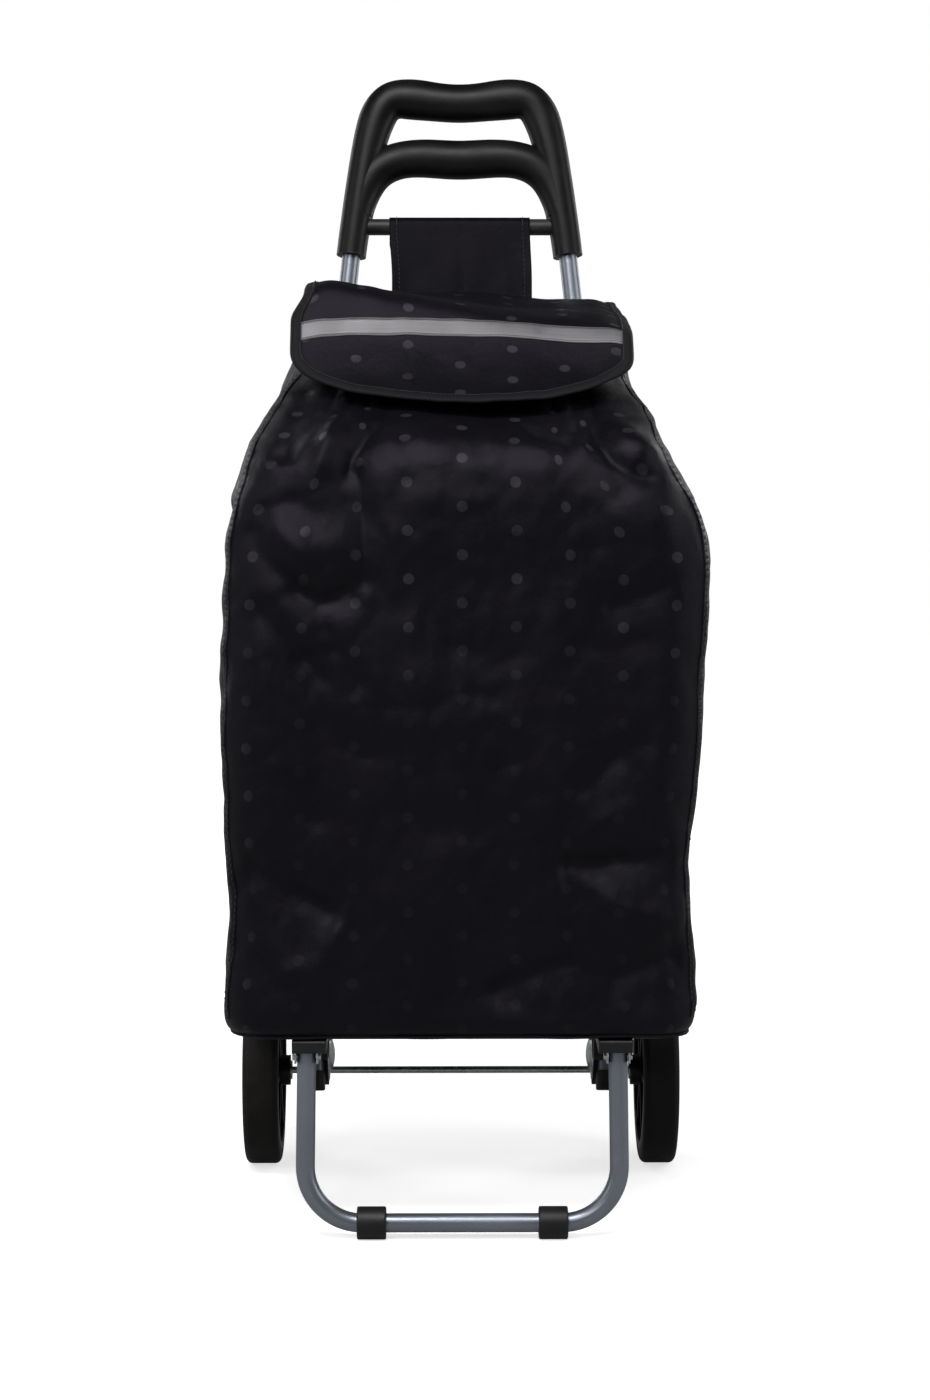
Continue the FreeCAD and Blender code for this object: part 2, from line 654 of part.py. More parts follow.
def hanger_panel():
    """Fabric loop over the bar, sewn to the bag's back."""
    start, end = -HANGER_HALF_W, HANGER_HALF_W
    outer_r, inner_r = BAR_R + HANGER_T, BAR_R
    loop = rod(outer_r, Vector(start, 0, BAR_S), Vector(end, 0, BAR_S))
    loop = loop.fuse(box(start, end, -outer_r, outer_r, HANGER_END_S, BAR_S))
    hole = rod(inner_r, Vector(start, 0, BAR_S), Vector(end, 0, BAR_S))
    hole = hole.fuse(box(start, end, -inner_r, outer_r, HANGER_END_S, BAR_S - 24.0))
    hole = hole.fuse(box(start, end, -inner_r, inner_r, BAR_S - 24.0, BAR_S))
    return leaned(loop.cut(hole))


def flap_profile():
    """Middle line of the flap in the YZ plane, from the hinge over the front."""
    return rounded_path([Vector(0, FLAP_BACK_Y, FLAP_BACK_Z), Vector(0, FLAP_FRONT_Y, FLAP_FRONT_Z),
                         Vector(0, FLAP_LIP_Y, FLAP_LIP_Z)], FLAP_BEND_R)


def flap_slab(half_t, inset):
    """The flap's curved sheet, cut to its rounded front outline."""
    path = flap_profile()
    start = Vector(0, FLAP_BACK_Y, FLAP_BACK_Z)
    along = (Vector(0, FLAP_FRONT_Y, FLAP_FRONT_Z) - start).normalize()
    up = X_AXIS.cross(along) * half_t
    side = X_AXIS * (FLAP_HALF_W + 1.0)
    corners = [start - side - up, start + side - up, start + side + up, start - side + up]
    sheet = path.makePipeShell([Part.makePolygon(corners + corners[:1])], True, False)
    half = FLAP_HALF_W - inset
    drop = FLAP_OVAL_Z - FLAP_LIP_Z - 2.0 - inset
    outline = Part.Ellipse(Vector(half, 0, FLAP_OVAL_Z), Vector(0, 0, FLAP_OVAL_Z - drop),
                           Vector(0, 0, FLAP_OVAL_Z)).toShape()
    outline.translate(Vector(0, AXLE_Y - 300, 0))
    keep = Part.Face(Part.Wire(outline)).extrude(Vector(0, 500, 0))
    keep = keep.fuse(box(-half, half, AXLE_Y - 300, AXLE_Y + 200, FLAP_OVAL_Z, 900))
    return sheet.common(keep)


def build_flap():
    panel = flap_slab(FLAP_T / 2, BINDING_W)
    core = flap_slab(FLAP_T, BINDING_W)
    binding = flap_slab(FLAP_T / 2 + 0.6, 0.0).cut(core)
    strip = flap_slab(FLAP_T / 2 + STRIP_T, BINDING_W + 0.5).cut(panel)
    strip = strip.common(box(-200, 200, AXLE_Y - 300, AXLE_Y - 100, STRIP_Z0, STRIP_Z1))
    outer = max(strip.Solids, key=lambda s: -s.CenterOfMass.y)
    save("bag_flap", panel)
    save("flap_binding", binding)
    save("reflective_strip", outer)


def build_bag():
    save("bag_body", bag_body())
    save("bag_base_board", base_board())
    save("mouth_hem", mouth_hem())
    save("bottom_piping", bottom_piping())
    save("hanger_panel", hanger_panel())
    build_flap()


# ---------------------------------------------------------------- write the nodes
for side, sign in SIDES.items():
    save("upright_" + side, upright(sign))
    save("upright_end_cap_" + side, end_cap(sign))
save("cross_brace", cross_brace())
build_handle()
build_rear()
build_platform()
build_stand()
build_wheels()
build_bag()
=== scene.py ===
import json
import math

import bpy
import numpy as np
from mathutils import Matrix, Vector, noise


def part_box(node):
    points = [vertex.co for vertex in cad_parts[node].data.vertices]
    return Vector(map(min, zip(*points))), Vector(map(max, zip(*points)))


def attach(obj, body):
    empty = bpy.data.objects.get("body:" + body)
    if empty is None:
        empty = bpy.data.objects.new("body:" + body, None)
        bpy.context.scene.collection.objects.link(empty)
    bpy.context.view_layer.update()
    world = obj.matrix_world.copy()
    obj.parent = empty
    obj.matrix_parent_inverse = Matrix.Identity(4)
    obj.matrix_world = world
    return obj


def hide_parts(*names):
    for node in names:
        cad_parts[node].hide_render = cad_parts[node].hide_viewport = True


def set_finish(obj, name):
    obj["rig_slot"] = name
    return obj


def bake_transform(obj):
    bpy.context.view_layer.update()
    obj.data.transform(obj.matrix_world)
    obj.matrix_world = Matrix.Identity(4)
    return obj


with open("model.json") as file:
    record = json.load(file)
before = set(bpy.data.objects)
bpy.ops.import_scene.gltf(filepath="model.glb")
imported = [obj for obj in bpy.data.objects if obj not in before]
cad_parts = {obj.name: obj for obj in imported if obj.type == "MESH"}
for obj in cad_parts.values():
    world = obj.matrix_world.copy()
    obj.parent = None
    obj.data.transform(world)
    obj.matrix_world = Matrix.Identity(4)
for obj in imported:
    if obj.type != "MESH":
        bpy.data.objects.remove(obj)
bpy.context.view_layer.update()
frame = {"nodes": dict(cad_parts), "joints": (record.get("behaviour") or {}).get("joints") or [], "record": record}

# ------------------------------------------------------------------ frame facts
JOINT = {j["name"]: j for j in frame["joints"]}
AXLE_Y, AXLE_Z = JOINT["wheel_left_spin"]["pos_m"][1:]
HINGE = Vector(JOINT["flap_lift"]["pos_m"])
LEAN = math.radians(11.0)
SIN, COS = math.sin(LEAN), math.cos(LEAN)
UPRIGHT_SHIFT = -0.025                # the uprights' plane passes this far in front of the axle
SLOT_OF = {p["node"]: p["material_slot"] for p in frame["record"]["subparts"]}
BAG_LO, BAG_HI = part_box("bag_body")
BAR_LO, BAR_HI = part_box("hanger_bar")
PANEL_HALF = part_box("hanger_panel")[1].x


def plane_y(z):
    """Y of the leaning plane through the two uprights at height z."""
    return AXLE_Y + UPRIGHT_SHIFT + (z - AXLE_Z) * math.tan(LEAN)


def leaned(n, s):
    """(y, z) of a point n in front of or behind the leaning plane, s along it from axle height."""
    return AXLE_Y + UPRIGHT_SHIFT + s * SIN + n * COS, AXLE_Z + s * COS - n * SIN


def smooth(a, b, x):
    """Smooth step from 0 at a to 1 at b."""
    t = np.clip((np.asarray(x, float) - a) / (b - a), 0.0, 1.0)
    return t * t * (3.0 - 2.0 * t)


# ------------------------------------------------------------------ node helpers
class Nodes:
    """Short way to write a material's node tree."""

    def __init__(self, name):
        self.material = bpy.data.materials.new(name)
        self.material.use_nodes = True
        self.tree = self.material.node_tree
        self.shader = self.tree.nodes["Principled BSDF"]

    def put(self, socket, value):
        if isinstance(value, bpy.types.NodeSocket):
            self.tree.links.new(value, socket)
        else:
            socket.default_value = value

    def node(self, kind, inputs=(), **settings):
        n = self.tree.nodes.new(kind)
        for key, value in settings.items():
            setattr(n, key, value)
        for key, value in dict(inputs).items():
            self.put(n.inputs[key], value)
        return n

    def math(self, operation, a, b=0.0, c=0.0):
        return self.node("ShaderNodeMath", {0: a, 1: b, 2: c}, operation=operation).outputs[0]

    def vector(self, operation, a, b=(0, 0, 0), c=(0, 0, 0)):
        n = self.node("ShaderNodeVectorMath", {0: a, 1: b, 2: c}, operation=operation)
        return n.outputs["Value" if operation in ("LENGTH", "DOT_PRODUCT") else "Vector"]

    def noise(self, vector, scale, detail=3.0, rough=0.5, distort=0.0):
        return self.node("ShaderNodeTexNoise", {"Vector": vector, "Scale": scale, "Detail": detail,
                                                "Roughness": rough, "Distortion": distort}).outputs[0]

    def span(self, value, low, high, to_low, to_high, kind="SMOOTHSTEP"):
        return self.node("ShaderNodeMapRange",
                         {"Value": value, "From Min": low, "From Max": high,
                          "To Min": to_low, "To Max": to_high}, interpolation_type=kind).outputs[0]

    def blend(self, factor, a, b):
        n = self.node("ShaderNodeMix", data_type="RGBA")
        self.put(n.inputs[0], factor)
        self.put(n.inputs[6], a)
        self.put(n.inputs[7], b)
        return n.outputs[2]

    def bump(self, height, strength, distance, normal=None):
        inputs = {"Height": height, "Strength": strength, "Distance": distance}
        if normal is not None:
            inputs["Normal"] = normal
        return self.node("ShaderNodeBump", inputs).outputs[0]

    def where(self):
        return self.node("ShaderNodeTexCoord").outputs["Object"]

    def flat(self):
        return self.node("ShaderNodeUVMap", uv_map="cut").outputs[0]

    def finish(self, **values):
        for key, value in values.items():
            self.put(self.shader.inputs[key.replace("_", " ")], value)
        return self.material


def along_line(points):
    """Distance from the first point to each point of a line."""
    steps = np.linalg.norm(np.diff(np.asarray(points, float), axis=0), axis=1)
    return np.concatenate([[0.0], np.cumsum(steps)])


def at_distances(line, places):
    """Points of a line at the given distances along it."""
    line = np.asarray(line, float)
    away = along_line(line)
    return np.column_stack([np.interp(places, away, column) for column in line.T])


def rounded(line, times):
    """A line with its corners rounded by averaging neighbours; its two ends stay."""
    out = np.array(line)
    for _ in range(times):
        out[1:-1] = 0.25 * out[:-2] + 0.5 * out[1:-1] + 0.25 * out[2:]
    return out


def cut_grid(across, up):
    """Flat coordinates of a grid from its columns' and its rows' places."""
    across, up = np.asarray(across, float), np.asarray(up, float)
    shape = (len(up), len(across))
    return np.stack([np.broadcast_to(across, shape), np.broadcast_to(up[:, None], shape)], axis=2)


# ------------------------------------------------------------------ materials
def woven(name, dark, light, dots=False, seed=0.0, shine=0.17):
    """Plain-woven polyester, with or without its printed dots. UV map "cut" is in metres."""
    m = Nodes(name)
    uv = m.flat()
    weave_pitch = 0.0008
    turned = m.vector("SCALE", uv)
    turned.node.inputs["Scale"].default_value = math.pi / weave_pitch
    part = m.node("ShaderNodeSeparateXYZ", {0: turned})
    warp = m.math("ABSOLUTE", m.math("SINE", part.outputs[0]))
    weft = m.math("ABSOLUTE", m.math("SINE", part.outputs[1]))
    both = m.math("MULTIPLY", warp, weft)
    slub = m.noise(m.vector("MULTIPLY", uv, (260.0, 1900.0, 1.0)), 1.0, 2.0)
    slub2 = m.noise(m.vector("MULTIPLY", uv, (1900.0, 260.0, 1.0)), 1.0, 2.0)
    cloudy = m.noise(m.where(), 14.0 + seed, 5.0, 0.6)
    crumple = m.noise(m.where(), 75.0 + seed, 6.0, 0.62, 0.6)
    tone = m.math("MULTIPLY_ADD", m.math("ADD", slub, slub2), 0.30, m.math("MULTIPLY", cloudy, 0.7))
    colour = m.blend(m.span(tone, 0.35, 0.95, 0.0, 1.0), dark, light)
    rough = m.span(cloudy, 0.3, 0.7, 0.40, 0.50)
    normal = m.bump(crumple, 0.36, 0.0016, m.bump(both, 0.35, 0.00025))
    if dots:
        # two square lattices, half a pitch apart, make the staggered rows
        col, row, radius = 0.0413, 0.01845, 0.0043
        away = []
        for shift in ((0.0, 0.0, 0.0), (col, row, 0.0)):
            cell = m.vector("WRAP", m.vector("ADD", uv, shift), (col, row, 1.0), (-col, -row, -1.0))
            away.append(m.vector("LENGTH", m.vector("MULTIPLY", cell, (1.0, 1.0, 0.0))))
        edge = m.math("MULTIPLY_ADD", m.math("SUBTRACT", slub, 0.5), 0.0006, m.math("MINIMUM", *away))
        print_on = m.span(edge, radius - 0.0003, radius + 0.0002, 1.0, 0.0)
        # painted light and shade on the print: the dot lattice is the real, even print, but the dots are dimmed to
        # about a fifth low on the front and kept full at the sides and in random patches, standing in for where
        # light catches the glossy print
        place = m.node("ShaderNodeSeparateXYZ", {0: m.where()})
        dots_shaded_low_down = m.span(place.outputs[2], 0.40, 0.53, 0.22, 1.0)
        dots_lit_at_side = m.span(m.math("ABSOLUTE", place.outputs[0]), 0.150, 0.180, 0.0, 1.0)
        dots_lit_share = m.math("MAXIMUM", m.math("MAXIMUM", dots_shaded_low_down, dots_lit_at_side), m.span(cloudy, 0.60, 0.72, 0.0, 0.8))
        print_on = m.math("MULTIPLY", print_on, dots_lit_share)
        ink = m.blend(m.span(cloudy, 0.35, 0.7, 0.0, 1.0),
                      (0.016, 0.0150, 0.0178, 1.0), (0.036, 0.034, 0.040, 1.0))
        colour = m.blend(print_on, colour, ink)
        rough = m.math("MULTIPLY_ADD", print_on, -0.16, rough)
        normal = m.bump(print_on, 0.25, 0.00012, normal)
    return m.finish(Base_Color=colour, Roughness=rough, Normal=normal, Specular_IOR_Level=shine,
                    Specular_Tint=(0.88, 0.83, 1.0, 1.0), Sheen_Weight=0.012, Sheen_Roughness=0.40,
                    Sheen_Tint=(0.72, 0.68, 0.85, 1.0))


def coating():
    """Inside face of the cloth: a thin grey waterproof coat."""
    m = Nodes("cloth_coating")
    cloudy = m.noise(m.where(), 22.0, 5.0, 0.6)
    weave = m.node("ShaderNodeTexWave", {"Vector": m.flat(), "Scale": 420.0, "Distortion": 1.5})
    colour = m.blend(cloudy, (0.018, 0.018, 0.020, 1.0), (0.034, 0.034, 0.037, 1.0))
    normal = m.bump(weave.outputs[1], 0.2, 0.0002, m.bump(cloudy, 0.6, 0.002))
    return m.finish(Base_Color=colour, Roughness=m.span(cloudy, 0.3, 0.7, 0.38, 0.5), Normal=normal)


def ribbed_tape():
    """Grosgrain binding: fine ribs across the tape."""
    m = Nodes("binding_tape")
    part = m.node("ShaderNodeSeparateXYZ", {0: m.flat()})
    rib = m.math("ABSOLUTE", m.math("SINE", m.math("MULTIPLY", part.outputs[0], math.pi / 0.0011)))
    fuzz = m.noise(m.where(), 900.0, 3.0, 0.6)
    colour = m.blend(m.math("MULTIPLY", rib, fuzz), (0.004, 0.004, 0.005, 1.0), (0.014, 0.0135, 0.016, 1.0))
    normal = m.bump(rib, 0.6, 0.0003, m.bump(fuzz, 0.3, 0.0002))
    return m.finish(Base_Color=colour, Roughness=0.62, Normal=normal, Sheen_Weight=0.03,
                    Sheen_Roughness=0.4, Specular_IOR_Level=0.18)


def reflective():
    """Grey tape with a glass-bead face."""
    m = Nodes("reflective_tape")
    beads = m.node("ShaderNodeTexVoronoi", {"Vector": m.where(), "Scale": 2600.0})
    scuff = m.noise(m.where(), 38.0, 6.0, 0.65)
    long_way = m.noise(m.vector("MULTIPLY", m.flat(), (18.0, 700.0, 1.0)), 1.0, 3.0)
    tone = m.math("MULTIPLY_ADD", long_way, 0.4, m.math("MULTIPLY", scuff, 0.6))
    colour = m.blend(m.span(tone, 0.3, 0.7, 0.0, 1.0),
                     (0.135, 0.131, 0.139, 1.0), (0.200, 0.194, 0.205, 1.0))
    normal = m.bump(beads.outputs[0], 0.25, 0.0002, m.bump(scuff, 0.5, 0.0006))
    return m.finish(Base_Color=colour, Metallic=0.35, Roughness=m.span(scuff, 0.3, 0.7, 0.42, 0.6),
                    Normal=normal)


def painted_tube():
    """Blue-grey metallic paint on steel tube."""
    m = Nodes("tube_paint")
    p = m.where()
    flake = m.node("ShaderNodeTexVoronoi", {"Vector": p, "Scale": 2400.0}, feature="F1")
    peel = m.noise(p, 260.0, 3.0, 0.5)
    haze = m.noise(p, 9.0, 5.0, 0.6)
    scratch = m.noise(m.vector("MULTIPLY", p, (900.0, 60.0, 60.0)), 1.0, 4.0, 0.7)
    fleck = m.span(flake.outputs["Distance"], 0.0, 0.55, 1.0, 0.0)
    tone = m.math("MULTIPLY_ADD", fleck, 0.30, m.math("MULTIPLY", haze, 0.7))
    colour = m.blend(tone, (0.170, 0.188, 0.222, 1.0), (0.360, 0.392, 0.445, 1.0))
    worn = m.span(scratch, 0.70, 0.78, 0.0, 0.5)
    colour = m.blend(worn, colour, (0.42, 0.43, 0.45, 1.0))
    normal = m.bump(peel, 0.18, 0.0004, m.bump(fleck, 0.10, 0.0001))
    return m.finish(Base_Color=colour, Metallic=0.78, Roughness=m.span(haze, 0.3, 0.7, 0.34, 0.45),
                    Normal=normal, Coat_Weight=0.15, Coat_Roughness=0.25)


def moulded(name, base, rough, grain=900.0, depth=0.00025, strength=0.3, coat=0.0, warm=0.0, shine=0.36):
    """Moulded plastic: fine texture, slight flow marks, rubbed edges; warm reddens its grey."""
    def grey(value, red):
        return (value + red, value, value, 1.0)

    m = Nodes(name)
    p = m.where()
    fine = m.noise(p, grain, 4.0, 0.6)
    flow = m.noise(m.vector("MULTIPLY", p, (14.0, 14.0, 30.0)), 1.0, 5.0, 0.6, 0.4)
    rub = m.noise(p, 60.0, 6.0, 0.7)
    edge = m.span(m.node("ShaderNodeNewGeometry").outputs["Pointiness"], 0.52, 0.62, 0.0, 1.0)
    worn = m.math("MULTIPLY", edge, m.span(rub, 0.4, 0.65, 0.1, 0.7))
    colour = m.blend(m.span(flow, 0.3, 0.75, 0.0, 1.0),
                     grey(base, warm), grey(base * 1.7 + 0.004, warm * 1.5))
    colour = m.blend(worn, colour, grey(base * 3.0 + 0.02, warm))
    mottle = m.math("MULTIPLY_ADD", rub, 0.5, m.math("MULTIPLY", flow, 0.5))
    spread = m.span(mottle, 0.3, 0.7, rough - 0.06, rough + 0.07)
    normal = m.bump(fine, strength, depth, m.bump(flow, 0.12, 0.0008))
    return m.finish(Base_Color=colour, Roughness=spread, Normal=normal, Coat_Weight=coat, Coat_Roughness=0.22,
                    Specular_IOR_Level=shine)


def zinc():
    """Bright zinc plate with a faint cast and dull spots."""
    m = Nodes("zinc")
    p = m.where()
    cloud = m.noise(p, 45.0, 6.0, 0.65)
    spangle = m.node("ShaderNodeTexVoronoi", {"Vector": p, "Scale": 380.0})
    drawn = m.noise(m.vector("MULTIPLY", p, (40.0, 900.0, 900.0)), 1.0, 3.0)
    tone = m.math("MULTIPLY_ADD", spangle.outputs["Distance"], 0.35, m.math("MULTIPLY", cloud, 0.75))
    colour = m.blend(m.span(tone, 0.25, 0.75, 0.0, 1.0),
                     (0.26, 0.29, 0.285, 1.0), (0.50, 0.54, 0.53, 1.0))
    normal = m.bump(drawn, 0.15, 0.0002, m.bump(cloud, 0.1, 0.0004))
    return m.finish(Base_Color=colour, Metallic=1.0, Roughness=m.span(cloud, 0.3, 0.7, 0.22, 0.42),
                    Normal=normal)


def rubber():
    """Tyre: soft matte plastic with dusty wear on the tread."""
    m = Nodes("tyre_rubber")
    p = m.where()
    fine = m.noise(p, 700.0, 4.0, 0.6)
    dust = m.noise(p, 30.0, 6.0, 0.7)
    colour = m.blend(m.span(dust, 0.4, 0.75, 0.0, 1.0),
                     (0.0085, 0.0074, 0.0070, 1.0), (0.025, 0.0220, 0.0205, 1.0))
    normal = m.bump(fine, 0.4, 0.0003, m.bump(dust, 0.3, 0.0006))
    return m.finish(Base_Color=colour, Roughness=m.span(dust, 0.3, 0.7, 0.55, 0.72), Normal=normal,
                    Specular_IOR_Level=0.25)


def fibre_board():
    """Dark stiffening board under the cloth floor."""
    m = Nodes("board")
    p = m.where()
    fibre = m.noise(m.vector("MULTIPLY", p, (120.0, 900.0, 300.0)), 1.0, 5.0, 0.7)
    blotch = m.noise(p, 18.0, 5.0, 0.6)
    colour = m.blend(m.math("MULTIPLY_ADD", fibre, 0.6, m.math("MULTIPLY", blotch, 0.4)),
                     (0.030, 0.028, 0.026, 1.0), (0.095, 0.090, 0.084, 1.0))
    return m.finish(Base_Color=colour, Roughness=0.8, Normal=m.bump(fibre, 0.4, 0.0005))


def thread():
    """Black twisted sewing thread."""
    m = Nodes("thread")
    twist = m.node("ShaderNodeTexWave", {"Vector": m.where(), "Scale": 900.0})
    colour = m.blend(twist.outputs[1], (0.012, 0.012, 0.014, 1.0), (0.045, 0.043, 0.048, 1.0))
    return m.finish(Base_Color=colour, Roughness=0.55, Normal=m.bump(twist.outputs[1], 0.3, 0.0001))


THREAD = thread()
BAG_COLOURS = (0.0017, 0.0014, 0.0025, 1.0), (0.0040, 0.0034, 0.0057, 1.0)
PLAIN_COLOURS = (0.0015, 0.0013, 0.0019, 1.0), (0.0034, 0.0030, 0.0040, 1.0)
CLOTH = woven("bag_fabric", *BAG_COLOURS, dots=True)
SEAM = woven("seam_fabric", *BAG_COLOURS, seed=6.0)
PLAIN = woven("plain_fabric", *PLAIN_COLOURS, seed=3.0, shine=0.09)
COAT = coating()
TAPE = ribbed_tape()
FINISH = {
    "tube_paint": painted_tube(),
    "handle_plastic": moulded("handle_plastic", 0.0026, 0.40, grain=1500.0, strength=0.18, warm=0.0006,
                              shine=0.20),
    "black_plastic": moulded("black_plastic", 0.0070, 0.46, grain=1100.0, strength=0.45),
    "zinc": zinc(),
    "black_paint": moulded("black_paint", 0.0090, 0.36, grain=320.0, depth=0.0004, strength=0.2, coat=0.3),
    "tyre_rubber": rubber(),
    "wheel_plastic": moulded("wheel_plastic", 0.0095, 0.42, grain=800.0),
    "nylon": moulded("nylon", 0.42, 0.40, grain=600.0),
    "bag_fabric": CLOTH,
    "binding_tape": TAPE,
    "reflective_tape": reflective(),
    "board": fibre_board(),
}
for node_name, obj in frame["nodes"].items():
    for material_slot in obj.material_slots:
        material_slot.link = "OBJECT"
        material_slot.material = FINISH[SLOT_OF[node_name]]


# ------------------------------------------------------------------ mesh helpers
def add_mesh(name, points, faces, uvs, materials, body, slot):
    """A new piece from points and faces; uvs holds one pair per face corner, in face order."""
    mesh = bpy.data.meshes.new(name)
    mesh.from_pydata([tuple(map(float, p)) for p in points], [], [tuple(map(int, f)) for f in faces])
    layer = mesh.uv_layers.new(name="cut")
    layer.data.foreach_set("uv", np.asarray(uvs, np.float32).ravel())
    for material in materials:
        mesh.materials.append(material)
    mesh.polygons.foreach_set("use_smooth", [True] * len(mesh.polygons))
    mesh.update()
    piece = bpy.data.objects.new(name, mesh)
    bpy.context.scene.collection.objects.link(piece)
    if body:
        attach(piece, body)
    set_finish(piece, slot)
    return piece


def grid_piece(name, P, UV, materials, body, slot, closed=False, flip=False):
    """A sheet from a grid of points P[row, column]; closed joins the last column to the first."""
    rows, cols = P.shape[:2]
    faces, uvs = [], []
    for j in range(rows - 1):
        for i in range(cols if closed else cols - 1):
            k = (i + 1) % cols
            quad = [(j, i, i), (j, k, i + 1), (j + 1, k, i + 1), (j + 1, i, i)]
            if flip:
                quad.reverse()
            faces.append([a * cols + b for a, b, _ in quad])
            uvs.extend(UV[a, c] for a, _, c in quad)
    return add_mesh(name, P.reshape(-1, 3), faces, uvs, materials, body, slot)


def thicken(piece, thickness, offset=-1.0, inner=0, rim=0, level=0):
    """Give a sheet its thickness; inner and rim are the materials of its inner face and its edge."""
    if level:
        sub = piece.modifiers.new("smooth", "SUBSURF")
        sub.levels = sub.render_levels = level
        sub.boundary_smooth = "PRESERVE_CORNERS"
    solid = piece.modifiers.new("thickness", "SOLIDIFY")
    solid.thickness = thickness
    solid.offset = offset
    solid.material_offset = inner
    solid.material_offset_rim = rim


def frames_along(line):
    """Two unit vectors across a closed line of points, turned as little as possible along it."""
    tangent = np.roll(line, -1, 0) - np.roll(line, 1, 0)
    tangent /= np.linalg.norm(tangent, axis=1)[:, None]
    first = np.array((0.0, 0.0, 1.0))
    side = np.zeros((len(line), 3))
    for i in range(len(line)):
        first = first - tangent[i] * first.dot(tangent[i])
        first /= np.linalg.norm(first)
        side[i] = first
    return side, np.cross(tangent, side)


def round_cord(name, line, radius, material, body, slot, around=10):
    """A closed round cord along a line, with a slight rib along its length."""
    rib, rib_pitch = 0.05, 0.0035
    line = np.asarray(line, float)
    a, b = frames_along(line)
    length = along_line(line)
    angles = np.linspace(0.0, 2.0 * math.pi, around, endpoint=False)
    swell = radius * (1.0 + rib * np.sin(length * 2.0 * math.pi / rib_pitch))
    ring = (line[:, None] + swell[:, None, None] * (np.cos(angles)[None, :, None] * a[:, None]
                                                    + np.sin(angles)[None, :, None] * b[:, None]))
    n = len(line)
    step = 2.0 * math.pi * radius / around
    faces, uvs = [], []
    for i in range(n):
        k = (i + 1) % n
        start, end = length[i], length[i + 1] if i + 1 < n else length[-1] + 0.005
        for j in range(around):
            m = (j + 1) % around
            faces.append([i * around + j, i * around + m, k * around + m, k * around + j])
            uvs += [(start, j * step), (start, (j + 1) * step), (end, (j + 1) * step), (end, j * step)]
    return add_mesh(name, ring.reshape(-1, 3), faces, uvs, [material], body, slot)


def stitches(name, places, body, slot="bag_fabric", length=0.0026, radius=0.00028):
    """Thread stitches: each place is (point, direction along the seam, direction out of the cloth)."""
    points, faces, uvs = [], [], []
    around, along = 5, (-0.5, -0.36, 0.0, 0.36, 0.5)
    for centre, way, out in places:
        centre, way, out = (np.asarray(v, float) for v in (centre, way, out))
        way = way / np.linalg.norm(way)
        out = out - way * out.dot(way)
        out /= np.linalg.norm(out)
        cross = np.cross(way, out)
        base = len(points)
        for t in along:
            lift = radius * (1.6 - 9.0 * t * t)
            r = radius * (0.55 if abs(t) > 0.45 else 1.0)
            for j in range(around):
                angle = 2.0 * math.pi * j / around
                points.append(centre + way * t * length + out * (lift + r * math.cos(angle))
                              + cross * r * math.sin(angle))
        for i in range(len(along) - 1):
            for j in range(around):
                k = (j + 1) % around
                faces.append([base + i * around + j, base + i * around + k,
                              base + (i + 1) * around + k, base + (i + 1) * around + j])
                uvs += [(0.0, 0.0), (0.0, 0.001), (0.001, 0.001), (0.001, 0.0)]
        faces.append([base + j for j in range(around)][::-1])
        faces.append([base + (len(along) - 1) * around + j for j in range(around)])
        uvs += [(0.0, 0.0)] * (2 * around)
    return add_mesh(name, points, faces, uvs, [THREAD], body, slot)


def normals_of(P, closed):
    """Unit normals at the points of a grid; closed joins its last column to the first."""
    du = np.roll(P, -1, 1) - np.roll(P, 1, 1)
    if not closed:
        du[:, 0], du[:, -1] = P[:, 1] - P[:, 0], P[:, -1] - P[:, -2]
    dv = np.gradient(P, axis=0)
    n = np.cross(du, dv)
    return n / np.maximum(np.linalg.norm(n, axis=2), 1e-12)[..., None]


def fractal(points, scale, shift, octaves=3, kind="soft"):
    """Smooth noise, or creased noise whose valleys are sharp as in crumpled cloth."""
    out = np.empty(len(points))
    offset = Vector(shift)
    for i, p in enumerate(points):
        q = Vector((p[0] * scale[0], p[1] * scale[1], p[2] * scale[2])) + offset
        total, gain = 0.0, 1.0
        for _ in range(octaves):
            v = noise.noise(q)
            total += gain * (abs(v) * 2.0 - 0.5 if kind == "crease" else v)
            q = q * 2.03
            gain *= 0.5
        out[i] = total
    return out


# ------------------------------------------------------------------ bag
# (height, half width, front Y from the axle, corner radius), in millimetres
SECTIONS = np.array([
    (158.2, 177, -256, 26), (160.5, 182.5, -262, 29), (164, 186.5, -266.5, 31), (172, 188.5, -269, 32),
    (230, 187, -270, 34), (300, 188, -272, 36), (400, 193, -273, 38), (500, 195, -273, 42),
    (545, 193, -272, 44), (580, 184, -270, 46), (605, 174, -266, 46), (622, 166, -256, 46),
    (636, 160, -234, 46), (648, 154, -206, 46), (664, 147, -174, 44), (684, 137, -150, 42),
    (728, 125, -138, 40)]) * 0.001
# outward shift of the left and right outline at each height, in millimetres
LEFT_SHIFT = np.array([
    (158, -3), (172, -3), (185, -2), (249, -6), (296, -4), (360, -7.5), (422, -9), (500, -10),
    (531, -10), (562, -6), (593, -3.5), (624, 3), (656, -2), (689, -6), (728, -5)]) * 0.001
RIGHT_SHIFT = np.array([
    (158, -3), (172, -3), (185, 1), (220, 0), (249, -3), (296, -6), (360, -3), (422, -2), (500, 0.4),
    (531, 2.5), (562, 1.4), (593, -3.5), (624, -5), (656, 3), (689, 5.0), (728, 2)]) * 0.001
CLOTH_THICK = 0.0009
OFF_CENTRE = 0.0019                   # the whole bag hangs this far to the left
BACK_GAP = 0.0099                     # from the uprights' plane to the back of the bag
FLOOR_Z, RIM_Z = BAG_LO.z, BAG_HI.z
NECK_Z = 0.640                        # above this the wall follows the sagging mouth
COUNT = {"front": 78, "corner": 10, "side": 30, "back": 40}          # columns in each part of a ring
FRONT_LEFT = COUNT["back"] // 2 + 2 * COUNT["corner"] + COUNT["side"]
FRONT_MIDDLE = FRONT_LEFT + COUNT["front"] // 2
FLAT_HALF = 0.155                     # half the flat front between its corners, as cut
FREE_HALF = 0.060                     # this much of the front stays smooth up to the mouth


